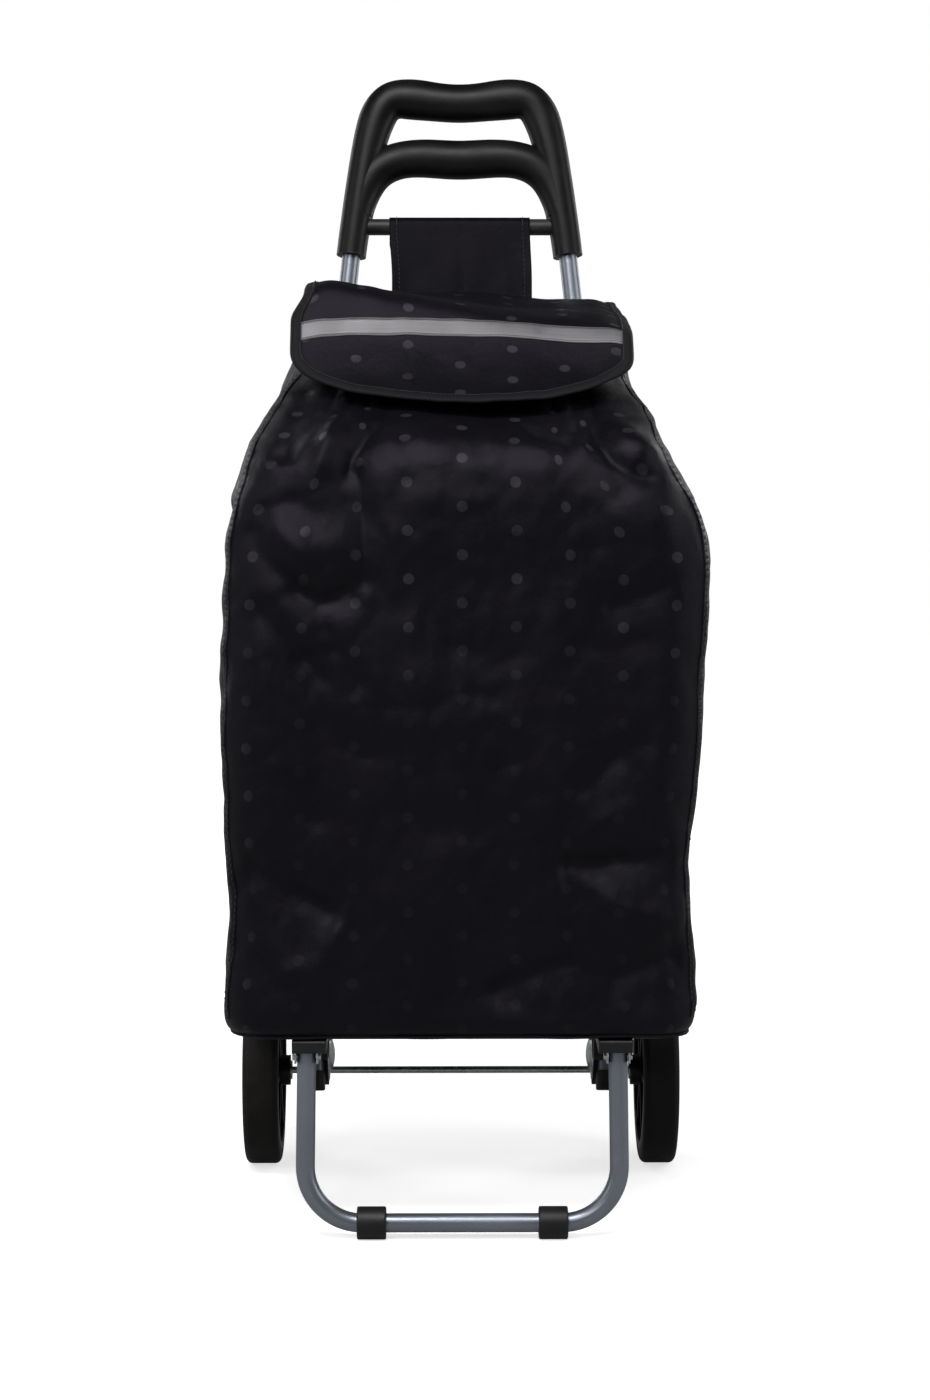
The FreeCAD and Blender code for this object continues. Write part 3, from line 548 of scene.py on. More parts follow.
def station_curves():
    """SECTIONS at every millimetre of height, smoothed."""
    z = np.arange(SECTIONS[0, 0], SECTIONS[-1, 0] + 0.0004, 0.001)
    cols = [np.interp(z, SECTIONS[:, 0], SECTIONS[:, k]) for k in (1, 2, 3)]
    kernel = np.exp(-0.5 * (np.arange(-18, 19) / 3.0) ** 2)
    kernel /= kernel.sum()
    out = []
    for c in cols:
        padded = np.concatenate([2 * c[0] - c[18:0:-1], c, 2 * c[-1] - c[-2:-20:-1]])
        out.append(np.convolve(padded, kernel, "valid"))
    return z, out


def ring_points(w, f, b, r):
    """One section of the bag, counter-clockwise from above, from the middle of the back.

    w is its half width, f and b the Y of its front and back, and r the radius of its corners.
    """
    def run(start, end, count):
        share = np.arange(count)[:, None] / count
        return np.array(start) + (np.array(end) - np.array(start)) * share

    def corner(side, y, quarter):
        angle = math.pi / 2 * (quarter + np.arange(COUNT["corner"]) / COUNT["corner"])
        return np.column_stack([side * (w - r) + r * np.cos(angle), y + r * np.sin(angle)])

    # columns of the front keep their places on the cut where they are free, and close up beside it
    u = -FLAT_HALF + 2 * FLAT_HALF * np.arange(COUNT["front"]) / COUNT["front"]
    squeezed = FREE_HALF + (np.abs(u) - FREE_HALF) * (w - r - FREE_HALF) / (FLAT_HALF - FREE_HALF)
    front_x = np.sign(u) * np.where(np.abs(u) < FREE_HALF, np.abs(u), squeezed)
    half_back = COUNT["back"] // 2
    return np.concatenate([
        run((0.0, b), (r - w, b), half_back), corner(-1, b - r, 1),
        run((-w, b - r), (-w, f + r), COUNT["side"]), corner(-1, f + r, 2),
        np.column_stack([front_x, np.full(len(u), f)]), corner(1, f + r, 3),
        run((w, f + r), (w, b - r), COUNT["side"]), corner(1, b - r, 4),
        run((w - r, b), (0.0, b), half_back)])


def hinge_drop(x):
    """How far the seam between the mouth and the flap sags towards the right."""
    return 0.0075 * smooth(0.0, 0.11, x)


def rim_height(x, y):
    """The gathered mouth sags to the front, and to the right where the flap leans on it."""
    front = 0.7190 - 0.10 * x
    back = RIM_Z + 0.0035 - hinge_drop(x)
    return front + (back - front) * smooth(AXLE_Y - 0.140, AXLE_Y + 0.085, y)


def crease(x, z, line, depth, above, below, fade=0.012, lip=0.0):
    """Height change along a sharp fold given as (x, z) points in millimetres, run from low x to high x.

    above and below are its widths on the two sides; lip raises the cloth beside it.
    """
    line = np.asarray(line, float) * 0.001
    best = np.full(x.shape, 1e9)
    along = np.zeros(x.shape)
    side = np.zeros(x.shape)
    total = along_line(line)
    for k in range(len(line) - 1):
        a, d = line[k], line[k + 1] - line[k]
        t = np.clip(((x - a[0]) * d[0] + (z - a[1]) * d[1]) / d.dot(d), 0, 1)
        dx, dz = x - a[0] - t * d[0], z - a[1] - t * d[1]
        dist = np.hypot(dx, dz)
        near = dist < best
        best = np.where(near, dist, best)
        along = np.where(near, total[k] + t * (total[k + 1] - total[k]), along)
        side = np.where(near, (d[0] * dz - d[1] * dx) / math.hypot(*d), side)
    ends = 0.12 + 0.88 * smooth(0, fade, along) * smooth(0, fade, total[-1] - along)
    share = smooth(-0.002, 0.002, side)
    width = below + (above - below) * share
    blunt = 0.0016
    out = depth * np.exp(-1.25 * (np.sqrt(best ** 2 + blunt ** 2) - blunt) / width) * ends
    if lip:
        out += lip * np.exp(-((best - 1.9 * width) / (1.2 * width)) ** 2) * ends * share
    return out * 0.001


# each: points (x, z), depth in mm (below zero is a valley), widths above and below it in m, lip in mm
FRONT_CREASES = [
    # under the mouth, left
    ([(-90, 590), (-86, 612), (-74, 628), (-62, 640), (-52, 650)], -7.0, 0.0075, 0.0085, 3.0),
    ([(-122, 574), (-112, 600), (-104, 622), (-96, 645)], 6.0, 0.010, 0.010, 0.0),
    ([(-140, 604), (-134, 628), (-128, 650), (-120, 672)], -9.0, 0.010, 0.010, 0.0),
    # the pouch that hangs over on the left
    ([(-166, 566), (-158, 548), (-147, 534), (-134, 518), (-122, 507), (-108, 501), (-96, 503), (-80, 516)],
     -7.5, 0.0090, 0.0120, 3.5),
    ([(-168, 567), (-150, 572), (-124, 580), (-108, 592)], -4.5, 0.007, 0.010, 0.0),
    ([(-78, 505), (-75, 530), (-76, 560), (-79, 590), (-84, 612)], -4.5, 0.009, 0.010, 0.0),
    ([(-165, 505), (-143, 479), (-121, 456), (-101, 433)], -5.0, 0.009, 0.014, 1.5),
    ([(-112, 488), (-92, 458), (-74, 428)], -4.0, 0.008, 0.012, 1.2),
    # under the mouth, right
    ([(40, 650), (50, 634), (64, 626), (80, 624), (90, 628)], -7.0, 0.0085, 0.0075, -2.0),
    ([(84, 652), (88, 640), (90, 628)], -4.5, 0.006, 0.006, 0.0),
    ([(94, 650), (102, 634), (112, 614), (124, 604), (137, 599), (156, 596)], -8.0, 0.0090, 0.0100, 3.0),
    ([(118, 650), (134, 628), (148, 606)], 5.0, 0.011, 0.011, 0.0),
    ([(104, 496), (128, 502), (148, 511), (166, 519)], -6.5, 0.009, 0.022, 1.5),
    ([(92, 548), (112, 545), (134, 552)], -3.2, 0.010, 0.016, 0.0),
    ([(84, 470), (110, 462), (150, 474)], -3.0, 0.010, 0.014, 0.0),
    # low on the left
    ([(-172, 303), (-140, 280), (-92, 254)], -9.5, 0.012, 0.034, 0.0),
    ([(-150, 212), (-114, 217), (-92, 254)], 3.4, 0.012, 0.012, 0.0),
    ([(-166, 232), (-148, 214), (-136, 190)], -2.4, 0.010, 0.012, 0.0),
    ([(-118, 470), (-110, 400), (-112, 320)], -4.0, 0.026, 0.026, 0.0),
    # low on the right
    ([(70, 296), (110, 298), (168, 304)], -11.0, 0.014, 0.036, 0.0),
    ([(74, 306), (110, 332), (136, 346)], 3.4, 0.018, 0.012, 0.0),
    ([(75, 296), (127, 262), (178, 248)], 3.6, 0.014, 0.012, 0.0),
    ([(12, 193), (66, 217), (88, 221), (118, 208), (176, 231)], -7.5, 0.011, 0.026, 0.0),
    ([(83, 346), (110, 372), (128, 391)], -4.0, 0.012, 0.018, 0.0),
    # across the middle
    ([(-97, 399), (-66, 377), (-40, 384)], -2.6, 0.010, 0.014, 0.0),
    ([(-40, 398), (30, 416), (50, 399)], 2.4, 0.016, 0.014, 0.0),
    ([(-60, 340), (-20, 322), (40, 330)], -1.8, 0.018, 0.018, 0.0),
    ([(-20, 470), (30, 455), (64, 466)], -1.8, 0.016, 0.018, 0.0),
]
# the puffed pouch on the left and the fuller shoulder on the right, in metres:
# centre (x, z), how wide, how high, and how far out
FRONT_SWELLS = [(-0.122, 0.541, 0.034, 0.024, 0.0075), (0.135, 0.560, 0.040, 0.030, 0.0050)]
# creases of the two sides, their points as (y from the axle, z)
SIDE_CREASES = [
    ([(-225, 575), (-190, 560), (-150, 556), (-110, 566)], -5.0, 0.009, 0.009, 2.5),
    ([(-118, 540), (-112, 590), (-80, 640), (-60, 690)], -6.0, 0.011, 0.011, 2.0),
    ([(-40, 500), (-36, 570), (-8, 630), (10, 690)], -6.0, 0.012, 0.012, 2.0),
    ([(20, 560), (40, 620), (50, 680)], -4.0, 0.010, 0.010, 1.5),
    ([(-210, 470), (-170, 430), (-150, 370)], -4.5, 0.010, 0.016, 1.0),
    ([(-90, 470), (-60, 420), (-20, 390)], -4.0, 0.010, 0.016, 1.0),
    ([(-200, 300), (-150, 270), (-100, 262)], -5.0, 0.012, 0.022, 0.0),
    ([(-116, 175), (-118, 240), (-120, 340)], -3.5, 0.016, 0.016, 0.0),
    ([(-60, 250), (-20, 225), (10, 220)], -3.5, 0.012, 0.018, 0.0),
]


def fold_net(points, scale, shift):
    """Valleys along the borders of random cells, as in stiff cloth that has been crushed."""
    out = np.empty(len(points))
    offset = Vector(shift)
    for i, p in enumerate(points):
        away = noise.voronoi(Vector((p[0] * scale[0], p[1] * scale[1], p[2] * scale[2])) + offset)[0]
        out[i] = math.exp(-(away[1] - away[0]) / 0.16)
    return out


def wall_grid():
    """The bag's wall before its folds, as rings of points from foot to mouth."""
    zs, (wide, front, corner) = station_curves()
    pace = np.sqrt(1.0 + (0.75 * np.gradient(front, zs)) ** 2)
    travel = np.concatenate([[0], np.cumsum(0.5 * (pace[1:] + pace[:-1]))])
    rows = 124
    levels = np.interp(np.linspace(0, travel[-1], rows), travel, zs)
    rings = []
    for z in levels:
        w, f, r = (np.interp(z, zs, c) for c in (wide, front, corner))
        # the foot stands a little further in front of the uprights
        back = plane_y(z) - BACK_GAP / COS - 0.0052 * (1 - smooth(0.185, 0.215, z))
        xy = ring_points(w, AXLE_Y + f, back, r)
        left, right = (np.interp(z, *shift.T) for shift in (LEFT_SHIFT, RIGHT_SHIFT))
        # the shift fades towards the back, where the bag lies against the frame
        share = smooth(back - 0.01, back - 0.09, xy[:, 1])
        reach = np.abs(xy[:, 0]) / w
        xy[:, 0] += (np.where(xy[:, 0] < 0, -left, right) * reach - OFF_CENTRE) * share
        rings.append(np.column_stack([xy, np.full(len(xy), z)]))
    P = np.array(rings)
    # bring the mouth down to its sagging rim
    rim = rim_height(P[-1, :, 0], P[-1, :, 1])
    over = np.clip((P[..., 2] - NECK_Z) / (RIM_Z - NECK_Z), 0, 1)
    P[..., 2] = np.where(P[..., 2] > NECK_Z, NECK_Z + over * (rim[None] - NECK_Z), P[..., 2])
    return P


def drape(P):
    """Gathers, folds and crumples on the bag's wall, as movement along its normal."""
    N = normals_of(P, True)
    if N[60, FRONT_LEFT, 1] > 0:
        N = -N
    x, y, z = P[..., 0], P[..., 1], P[..., 2]
    facing_front = smooth(-0.25, -0.65, N[..., 1]) * smooth(AXLE_Y - 0.02, AXLE_Y - 0.08, y)
    facing_side = smooth(0.55, 0.9, np.abs(N[..., 0])) * smooth(0.0105, 0.05, plane_y(z) - y)
    facing_back = smooth(0.3, 0.7, N[..., 1])
    d = np.zeros(x.shape)
    for line, depth, above, below, lip in FRONT_CREASES:
        d += crease(x, z, line, depth, above, below, lip=lip) * facing_front
    for k, (line, depth, above, below, lip) in enumerate(SIDE_CREASES):
        for sign in (-1, 1):
            shift = 9.0 * math.sin(2.3 * k + sign)
            moved = [(a + shift, b + 6.0 * math.cos(1.7 * k - sign)) for a, b in line]
            here = facing_side * (np.sign(x) == sign)
            d += crease(y - AXLE_Y, z, moved, depth, above, below, lip=lip) * here
    for cx, cz, wide, high, fullness in FRONT_SWELLS:
        d += fullness * np.exp(-(((x - cx) / wide) ** 2 + ((z - cz) / high) ** 2)) * facing_front
    # the middle of the front stands a little proud between the folds, and hangs flatter lower down
    proud = smooth(0.085, 0.060, np.abs(x)) * smooth(0.50, 0.56, z) * smooth(0.65, 0.60, z)
    d += 0.0035 * proud * facing_front
    # pleats of the gathered mouth
    around = np.arange(P.shape[1])[None, :] / P.shape[1]
    wobble = 0.6 * np.sin(2 * math.pi * 3 * around) + 0.4 * np.sin(2 * math.pi * 7 * around + 1.0)
    pleat = np.abs(np.sin(math.pi * 27 * around + wobble)) - 0.64
    big = np.sin(2 * math.pi * 9 * around + 0.8 + 0.5 * wobble)
    envelope = smooth(0.625, 0.705, z)
    middle = 1.0 - 0.75 * smooth(0.075, 0.045, np.abs(x)) * facing_front
    d += envelope * middle * (0.0034 * pleat + 0.0030 * big) * (1 - 0.6 * facing_back)
    # crumples at three sizes, and valleys round irregular cells
    flat = P.reshape(-1, 3)
    broad = fractal(flat, (7.0, 7.0, 5.0), (3.1, 7.7, 1.3), 2).reshape(x.shape)
    medium = fractal(flat, (19.0, 19.0, 14.0), (9.2, 1.1, 4.4), 3, "crease").reshape(x.shape)
    small = fractal(flat, (52.0, 52.0, 44.0), (5.5, 2.2, 8.1), 3, "crease").reshape(x.shape)
    net = fold_net(flat, (15.0, 15.0, 19.0), (0.3, 4.1, 2.2)).reshape(x.shape)
    patchy = smooth(-0.25, 0.35, broad)
    lively = 0.66 + 0.16 * smooth(0.42, 0.60, z)
    crumples = 0.0021 * medium + 0.0008 * small - 0.0022 * net * patchy
    d += 0.0050 * broad * (1 - facing_back) + crumples * lively
    # nothing moves at the bound foot, and the back never comes out to the frame
    d *= 0.96 * smooth(0.1585, 0.196, z) + 0.04 * smooth(0.1585, 0.165, z)
    d = np.where(facing_back > 0, d * (1 - facing_back) + facing_back * np.minimum(d, 0.0), d)
    d = np.where(facing_back > 0, np.minimum(d, 0.0012 * (1 - facing_back)), d)
    return P + N * d[..., None], N


P0 = wall_grid()
P1, N1 = drape(P0)

# flat pattern: width round the bag at mid height, and height up each column
DOT_SHIFT = (0.0017, 0.3479)          # brings the printed dots to their places on the front
mid_ring = P0[np.argmin(np.abs(P0[:, FRONT_MIDDLE, 2] - 0.45))]
steps = np.linalg.norm(np.roll(mid_ring, -1, 0) - mid_ring, axis=1)
U = np.concatenate([[0.0], np.cumsum(steps)])
U -= U[FRONT_MIDDLE] + DOT_SHIFT[0]
climb = np.linalg.norm(np.diff(P0, axis=0), axis=2)
V = np.concatenate([np.zeros((1, P0.shape[1])), np.cumsum(climb, axis=0)])
V = np.concatenate([V, V[:, :1]], axis=1) - DOT_SHIFT[1]
cut_uv = np.stack([np.broadcast_to(U, V.shape), V], axis=2)

bag_wall = grid_piece("bag_wall", P1, cut_uv, [CLOTH, COAT], "frame", "bag_fabric", closed=True)
thicken(bag_wall, CLOTH_THICK, inner=1, rim=1, level=1)
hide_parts("bag_body")

# floor panel, sewn to the foot of the wall
foot = P1[0]
centre = foot.mean(0)
spokes = np.linspace(1.0, 0.02, 22)
F = np.array([centre + (foot - centre) * t for t in spokes])
F[..., 2] = (FLOOR_Z + 0.0006 * (1 - spokes) + 0.0004)[:, None]
F_uv = np.concatenate([F[..., :2], F[:, :1, :2]], axis=1)
bag_floor = grid_piece("bag_floor", F, F_uv, [PLAIN, COAT], "frame", "bag_fabric", closed=True)
thicken(bag_floor, CLOTH_THICK, offset=1.0, inner=1, rim=1)

# corded seam round the foot
CORD_Z = 0.1605
row_at = int(np.argmin(np.abs(P1[:, FRONT_MIDDLE, 2] - CORD_Z)))
outward = N1[row_at] * np.array([1.0, 1.0, 0.0])
outward /= np.linalg.norm(outward, axis=1)[:, None]
cord_line = P1[row_at] + outward * 0.0006
cord_line[:, 2] += 0.0006 * np.sin(np.arange(len(cord_line)) * 0.23)
between = 0.5 * cord_line + 0.5 * np.roll(cord_line, -1, 0)
fine_line = np.stack([cord_line, between], axis=1).reshape(-1, 3)
foot_piping = round_cord("foot_piping", fine_line, 0.0014, TAPE, "frame", "binding_tape")
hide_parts("bottom_piping")

# hem at the mouth: the wall's edge turned out over itself
rim, rim_out = P1[-1], N1[-1] * np.array([1.0, 1.0, 0.0])
rim_out /= np.linalg.norm(rim_out, axis=1)[:, None]
hem_shape = [(-0.0026, -0.0130), (-0.0030, -0.0080), (-0.0026, -0.0020), (-0.0012, 0.0012), (0.0004, 0.0022),
             (0.0019, 0.0012), (0.0026, -0.0020), (0.0029, -0.0075), (0.0022, -0.0118), (0.0008, -0.0135)]
angle = np.arange(P1.shape[1]) / P1.shape[1] * 2 * math.pi
hem_rows = []
swell = 1.0 + 0.22 * np.sin(angle * 61) + 0.10 * np.sin(angle * 23 + 1.0)
by_uprights = np.where(rim[:, 1] > 0.142, 0.35, 1.0)       # the hem is thin where it passes the uprights
for out, up in hem_shape:
    row = rim + rim_out * (out * swell)[:, None] * by_uprights[:, None]
    row[:, 2] = rim[:, 2] + up + 0.0007 * np.sin(angle * 37 + out * 900)
    hem_rows.append(row)
H = np.array(hem_rows)
H_uv = cut_grid(U, np.linspace(0, 0.032, len(hem_rows)))
mouth_gather = grid_piece("mouth_gather", H, H_uv, [PLAIN], "frame", "bag_fabric", closed=True)
thicken(mouth_gather, 0.0005, level=1)
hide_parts("mouth_hem")

# lapped seam up each side of the front, with its two rows of stitches
SEAM_SHAPE = [(-0.0038, -0.0002), (-0.0034, 0.0003), (-0.0018, 0.0004), (0.0, 0.0005),
              (0.0018, 0.0004), (0.0034, 0.0003), (0.0038, -0.0002)]      # (across, out)
seam_places = []
for name, column in (("left", FRONT_LEFT - COUNT["corner"] + 3),
                     ("right", FRONT_LEFT + COUNT["front"] + COUNT["corner"] - 3)):
    rows = range(4, P1.shape[0] - 3)
    strip = []
    for j in rows:
        p, n = P1[j, column], N1[j, column]
        across = P1[j, column + 1] - P1[j, column - 1]
        across /= np.linalg.norm(across)
        strip.append([p + across * w + n * h for w, h in SEAM_SHAPE])
        for side in (-0.0024, 0.0024):
            seam_places.append((p + across * side + n * 0.0005, P1[j + 1, column] - P1[j - 1, column], n))
    S = np.array(strip)
    S_uv = cut_grid(np.linspace(0, 0.009, len(SEAM_SHAPE)), np.arange(len(strip)) * 0.0046)
    seam = grid_piece("seam_" + name, S, S_uv, [SEAM], "frame", "bag_fabric")
    thicken(seam, 0.0006)
stitches("seam_stitches", seam_places, "frame")

# ------------------------------------------------------------------ hanger panel
BAR_S = ((BAR_LO.z + BAR_HI.z) / 2 - AXLE_Z) / COS
BAR_R = (BAR_HI.z - BAR_LO.z) / 2
PANEL_END = 0.628                     # its lower end, measured up the lean from axle height


def hanger():
    """The cloth from behind the flap up over the bar and a little way down behind it."""
    gap = BAR_R + 0.0009
    path = [(-gap, s) for s in np.linspace(PANEL_END, BAR_S, 30)]
    path += [(-gap * math.cos(t), BAR_S + gap * math.sin(t)) for t in np.linspace(0.12, math.pi, 16)]
    path += [(gap - 0.0130 * smooth(0.0, 0.030, BAR_S - s), s)
             for s in np.linspace(BAR_S - 0.003, BAR_S - 0.040, 12)]
    path = np.array(path)
    rows, cols = len(path), 40
    away = along_line(path)
    P = np.zeros((rows, cols, 3))
    UV = np.zeros((rows, cols, 2))
    for j, (n, s) in enumerate(path):
        below = smooth(0.0, 0.05, BAR_S - s) if n < 0 else 0.0
        for i in range(cols):
            a = -1 + 2 * i / (cols - 1)
            x = 0.0020 * below + a * (PANEL_HALF - 0.0012 * below * math.cos(a * 1.2))
            ripple = 0.0009 * math.sin(a * 5.1 + s * 31.0) + 0.0006 * math.sin(a * 11.0 - s * 22.0)
            curl = -0.0010 * abs(a) ** 6
            y, z = leaned(n - abs(ripple) * below + curl * below, s)
            P[j, i] = (x, y, z)
            UV[j, i] = (x - 0.008, away[j] + 0.006)
    return P, UV


HP, HP_uv = hanger()
hanger_cloth = grid_piece("hanger_cloth", HP, HP_uv, [CLOTH, PLAIN], "frame", "bag_fabric", flip=True)
thicken(hanger_cloth, CLOTH_THICK, offset=0.0, inner=1, rim=1, level=1)
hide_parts("hanger_panel")
HN = normals_of(HP, False)
if HN[5, 5, 1] > 0:
    HN = -HN
hanger_places = []
for j in range(2, HP.shape[0] - 14):
    for i in (2, HP.shape[1] - 3):
        hanger_places.append((HP[j, i] + HN[j, i] * 0.0005, HP[j + 1, i] - HP[j - 1, i], HN[j, i]))
for row in (1, 4):
    for i in range(3, HP.shape[1] - 3):
        hanger_places.append((HP[row, i] + HN[row, i] * 0.0005, HP[row, i + 1] - HP[row, i - 1], HN[row, i]))
hanger_stitches = stitches("hanger_stitches", hanger_places, "frame")

# ------------------------------------------------------------------ flap
FLAP_HALF = 0.1355
FLAP_LENGTH = 0.344
LIP_ROUND = 0.055                     # how much shorter the rounded corners are than the middle
# the lip's line below the fold: length of each step in metres, and its turn in degrees
LIP_STEPS = [(0.012, -26.0), (0.016, -13.0), (0.016, -5.2), (0.018, 3.0),
             (0.018, 8.0), (0.020, 12.0), (0.022, 14.0), (0.03, 15.0)]


def flap_line(x):
    """The flap's middle surface over one x, from the hinge to past the lip, in (y, z)."""
    ridge = np.interp(x, (-0.134, -0.087, -0.045, -0.017, 0.027, 0.066),
                      (0.7590, 0.7520, 0.7460, 0.7410, 0.7345, 0.7315))
    y = AXLE_Y - np.interp(x, (-0.13, 0.0, 0.13), (0.141, 0.147, 0.163))
    z = np.interp(x, (-0.130, -0.087, -0.045, -0.017, 0.017, 0.064, 0.127),
                  (0.7520, 0.7460, 0.7395, 0.7340, 0.7285, 0.7210, 0.7150))
    steep = np.interp(x, (-0.13, 0.0, 0.13), (33.0, 44.0, 50.0))
    seam_z = HINGE.z - hinge_drop(x)
    pts = [(HINGE.y - 0.0015, seam_z + 0.0005), (HINGE.y - 0.030, seam_z + 0.0012),
           (HINGE.y - 0.085, 0.5 * (seam_z + ridge) + 0.003),
           (AXLE_Y - 0.035, ridge + 0.0020), (AXLE_Y - 0.080, ridge + 0.0002),
           (0.35 * (AXLE_Y - 0.080) + 0.65 * y, 0.45 * ridge + 0.55 * z + 0.0005), (y, z)]
    for step, turn in LIP_STEPS:
        way = math.radians(steep + turn)
        y -= step * math.sin(way)
        z -= step * math.cos(way)
        pts.append((y, z))
    return np.array(pts)


def soften(line, count, times):
    """Space a line's points evenly and round its corners."""
    return rounded(at_distances(line, np.linspace(0, along_line(line)[-1], count)), times)


FLAP_X = np.linspace(-FLAP_HALF, FLAP_HALF, 61)
FLAP_S = np.linspace(0, 0.352, 177)
FLAP_GRID = np.array([at_distances(soften(flap_line(x), 180, 70), FLAP_S) for x in FLAP_X])


def flap_base(x, s):
    """Point of the flap's middle surface for flat coordinates: x across, s from the hinge, in metres."""
    fx = np.clip((x + FLAP_HALF) / (2 * FLAP_HALF) * (len(FLAP_X) - 1), 0, len(FLAP_X) - 1.0001)
    fs = np.clip(s / FLAP_S[-1] * (len(FLAP_S) - 1), 0, len(FLAP_S) - 1.0001)
    i, j = int(fx), int(fs)
    u, v = fx - i, fs - j
    y, z = ((1 - u) * (1 - v) * FLAP_GRID[i, j] + u * (1 - v) * FLAP_GRID[i + 1, j]
            + (1 - u) * v * FLAP_GRID[i, j + 1] + u * v * FLAP_GRID[i + 1, j + 1])
    a = x / FLAP_HALF
    near_mouth = smooth(0.012, 0.055, s)
    on_lip = smooth(0.225, 0.26, s)
    hangs = near_mouth if a < 0 else smooth(-0.004, 0.028, s)
    droop = (0.0085 * hangs * (1 - 0.55 * on_lip)) * smooth(0.80, 1.04, abs(a)) ** 1.3
    pull = (0.0100 if a < 0 else 0.0) * near_mouth * (1 - on_lip) * smooth(0.35, 1.0, abs(a))
    # slack between hinge and ridge, small waves along the lip, and crumples
    sag = -0.0040 * math.exp(-(((s - 0.120) / 0.060) ** 2)) * (1 - a * a)
    wave = on_lip * (0.0016 * math.sin(a * 4.6 + 0.9) + 0.0010 * math.sin(a * 9.5 - 1.0))
    crumple = (0.0022 * noise.noise(Vector((x * 17.0, s * 15.0, 2.7)))
               + 0.0009 * noise.noise(Vector((x * 46.0, s * 40.0, 6.1))))
    crumple *= smooth(0.0, 0.04, s)
    return np.array([x - math.copysign(pull, x), y - wave * 0.6,
                     z - droop + sag + wave * 0.4 + crumple])


def flap_at(x, s, out=0.0):
    """Same, moved out along the surface's upward normal."""
    e = 0.002
    p = flap_base(x, s)
    if out == 0.0:
        return p
    dx = flap_base(min(x + e, FLAP_HALF), s) - flap_base(max(x - e, -FLAP_HALF), s)
    ds = flap_base(x, s + e) - flap_base(x, max(s - e, 0.0))
    n = np.cross(ds, dx)
    n /= np.linalg.norm(n)
    if n[2] - n[1] < 0:
        n = -n
    return p + n * out


def lip_end(x):
    """Length of the flap's cloth at x, with its rounded corners."""
    a = min(abs(x) / FLAP_HALF, 1.0)
    short_right = 0.010 * smooth(0.01, 0.12, x)
    return FLAP_LENGTH - short_right - LIP_ROUND * (1 - math.sqrt(max(0.0, 1 - a ** 2.2)))


def flap_sheet(rows=110, cols=96):
    """The flap's grid of points and its flat coordinates, shifted to bring the dots to their places."""
    P, UV = np.zeros((rows, cols, 3)), np.zeros((rows, cols, 2))
    for i in range(cols):
        a = -1 + 2 * i / (cols - 1)
        x = FLAP_HALF * math.sin(a * math.pi / 2) * 0.25 + FLAP_HALF * a * 0.75
        end = lip_end(x)
        for j in range(rows):
            s = end * j / (rows - 1)
            P[j, i] = flap_at(x, s)
            UV[j, i] = (x + 0.0012, FLAP_LENGTH - s - 0.0130)
    return P, UV


FP, FP_uv = flap_sheet()
flap_cloth = grid_piece("flap_cloth", FP, FP_uv, [CLOTH, COAT], "flap", "bag_fabric", flip=True)
thicken(flap_cloth, 0.0012, offset=0.0, inner=1, rim=1)
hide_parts("bag_flap")


def flap_edge():
    """The bound edge in flat coordinates: down the left side, round the lip and up the right."""
    pts = [(-FLAP_HALF, s) for s in np.linspace(0.004, lip_end(FLAP_HALF), 70)]
    for v in np.linspace(-1, 1, 150)[1:-1]:
        x = FLAP_HALF * math.sin(v * math.pi / 2)
        pts.append((x, lip_end(x)))
    pts += [(FLAP_HALF, s) for s in np.linspace(lip_end(FLAP_HALF), 0.004, 70)]
    return np.array(pts)


def flap_places(flat, out):
    """Stitch places along a line of flat points (x, s), raised by out from the flap's middle surface."""
    raised = [flap_at(x, s, out) for x, s in flat]
    middle = [flap_at(x, s) for x, s in flat]
    return [(raised[i], raised[i + 1] - raised[i - 1], raised[i] - middle[i])
            for i in range(1, len(raised) - 1)]


def inset_edge(edge, by):
    """Edge points moved inwards on the flat cut."""
    d = np.gradient(edge, axis=0)
    d /= np.maximum(np.linalg.norm(d, axis=1), 1e-9)[:, None]
    d = rounded(d, 6)
    d /= np.linalg.norm(d, axis=1)[:, None]
    inward = np.column_stack([d[:, 1], -d[:, 0]])
    return edge + inward * by


cut_edge = flap_edge()
s_even = np.linspace(0, along_line(cut_edge)[-1], 300)
edge = soften(cut_edge, len(s_even), 4)
BIND_W = 0.0088
# the tape's section, folded round the edge, as (inwards from the edge, out of the cloth)
BIND_SHAPE = [(BIND_W, -0.0003), (BIND_W, 0.0010), (BIND_W * 0.72, 0.0015), (BIND_W * 0.35, 0.0015),
              (0.0008, 0.0013), (-0.0010, 0.0000), (0.0008, -0.0013), (BIND_W * 0.35, -0.0015),
              (BIND_W * 0.72, -0.0015), (BIND_W, -0.0010), (BIND_W, 0.0003)]
B = np.array([[flap_at(x, s, out) for x, s in inset_edge(edge, inward)] for inward, out in BIND_SHAPE])
B_uv = cut_grid(s_even, along_line(BIND_SHAPE))
flap_tape = grid_piece("flap_tape", B, B_uv, [TAPE], "flap", "binding_tape")
thicken(flap_tape, 0.0003, offset=0.0)
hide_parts("flap_binding")
tape_places = flap_places(inset_edge(edge, BIND_W - 0.0016)[1:-1], 0.0017)
stitches("tape_stitches", tape_places, "flap", slot="binding_tape")

# reflective strip, laid on the flap just in front of its fold
STRIP_W = 0.0170


def strip_mid(x):
    """How far from the hinge the strip's middle runs."""
    return np.interp(x, (-0.13, -0.09, 0.0, 0.06, 0.13), (0.2705, 0.2620, 0.2540, 0.2550, 0.2590))


SX = np.linspace(-FLAP_HALF + 0.0070, FLAP_HALF - 0.0070, 120)
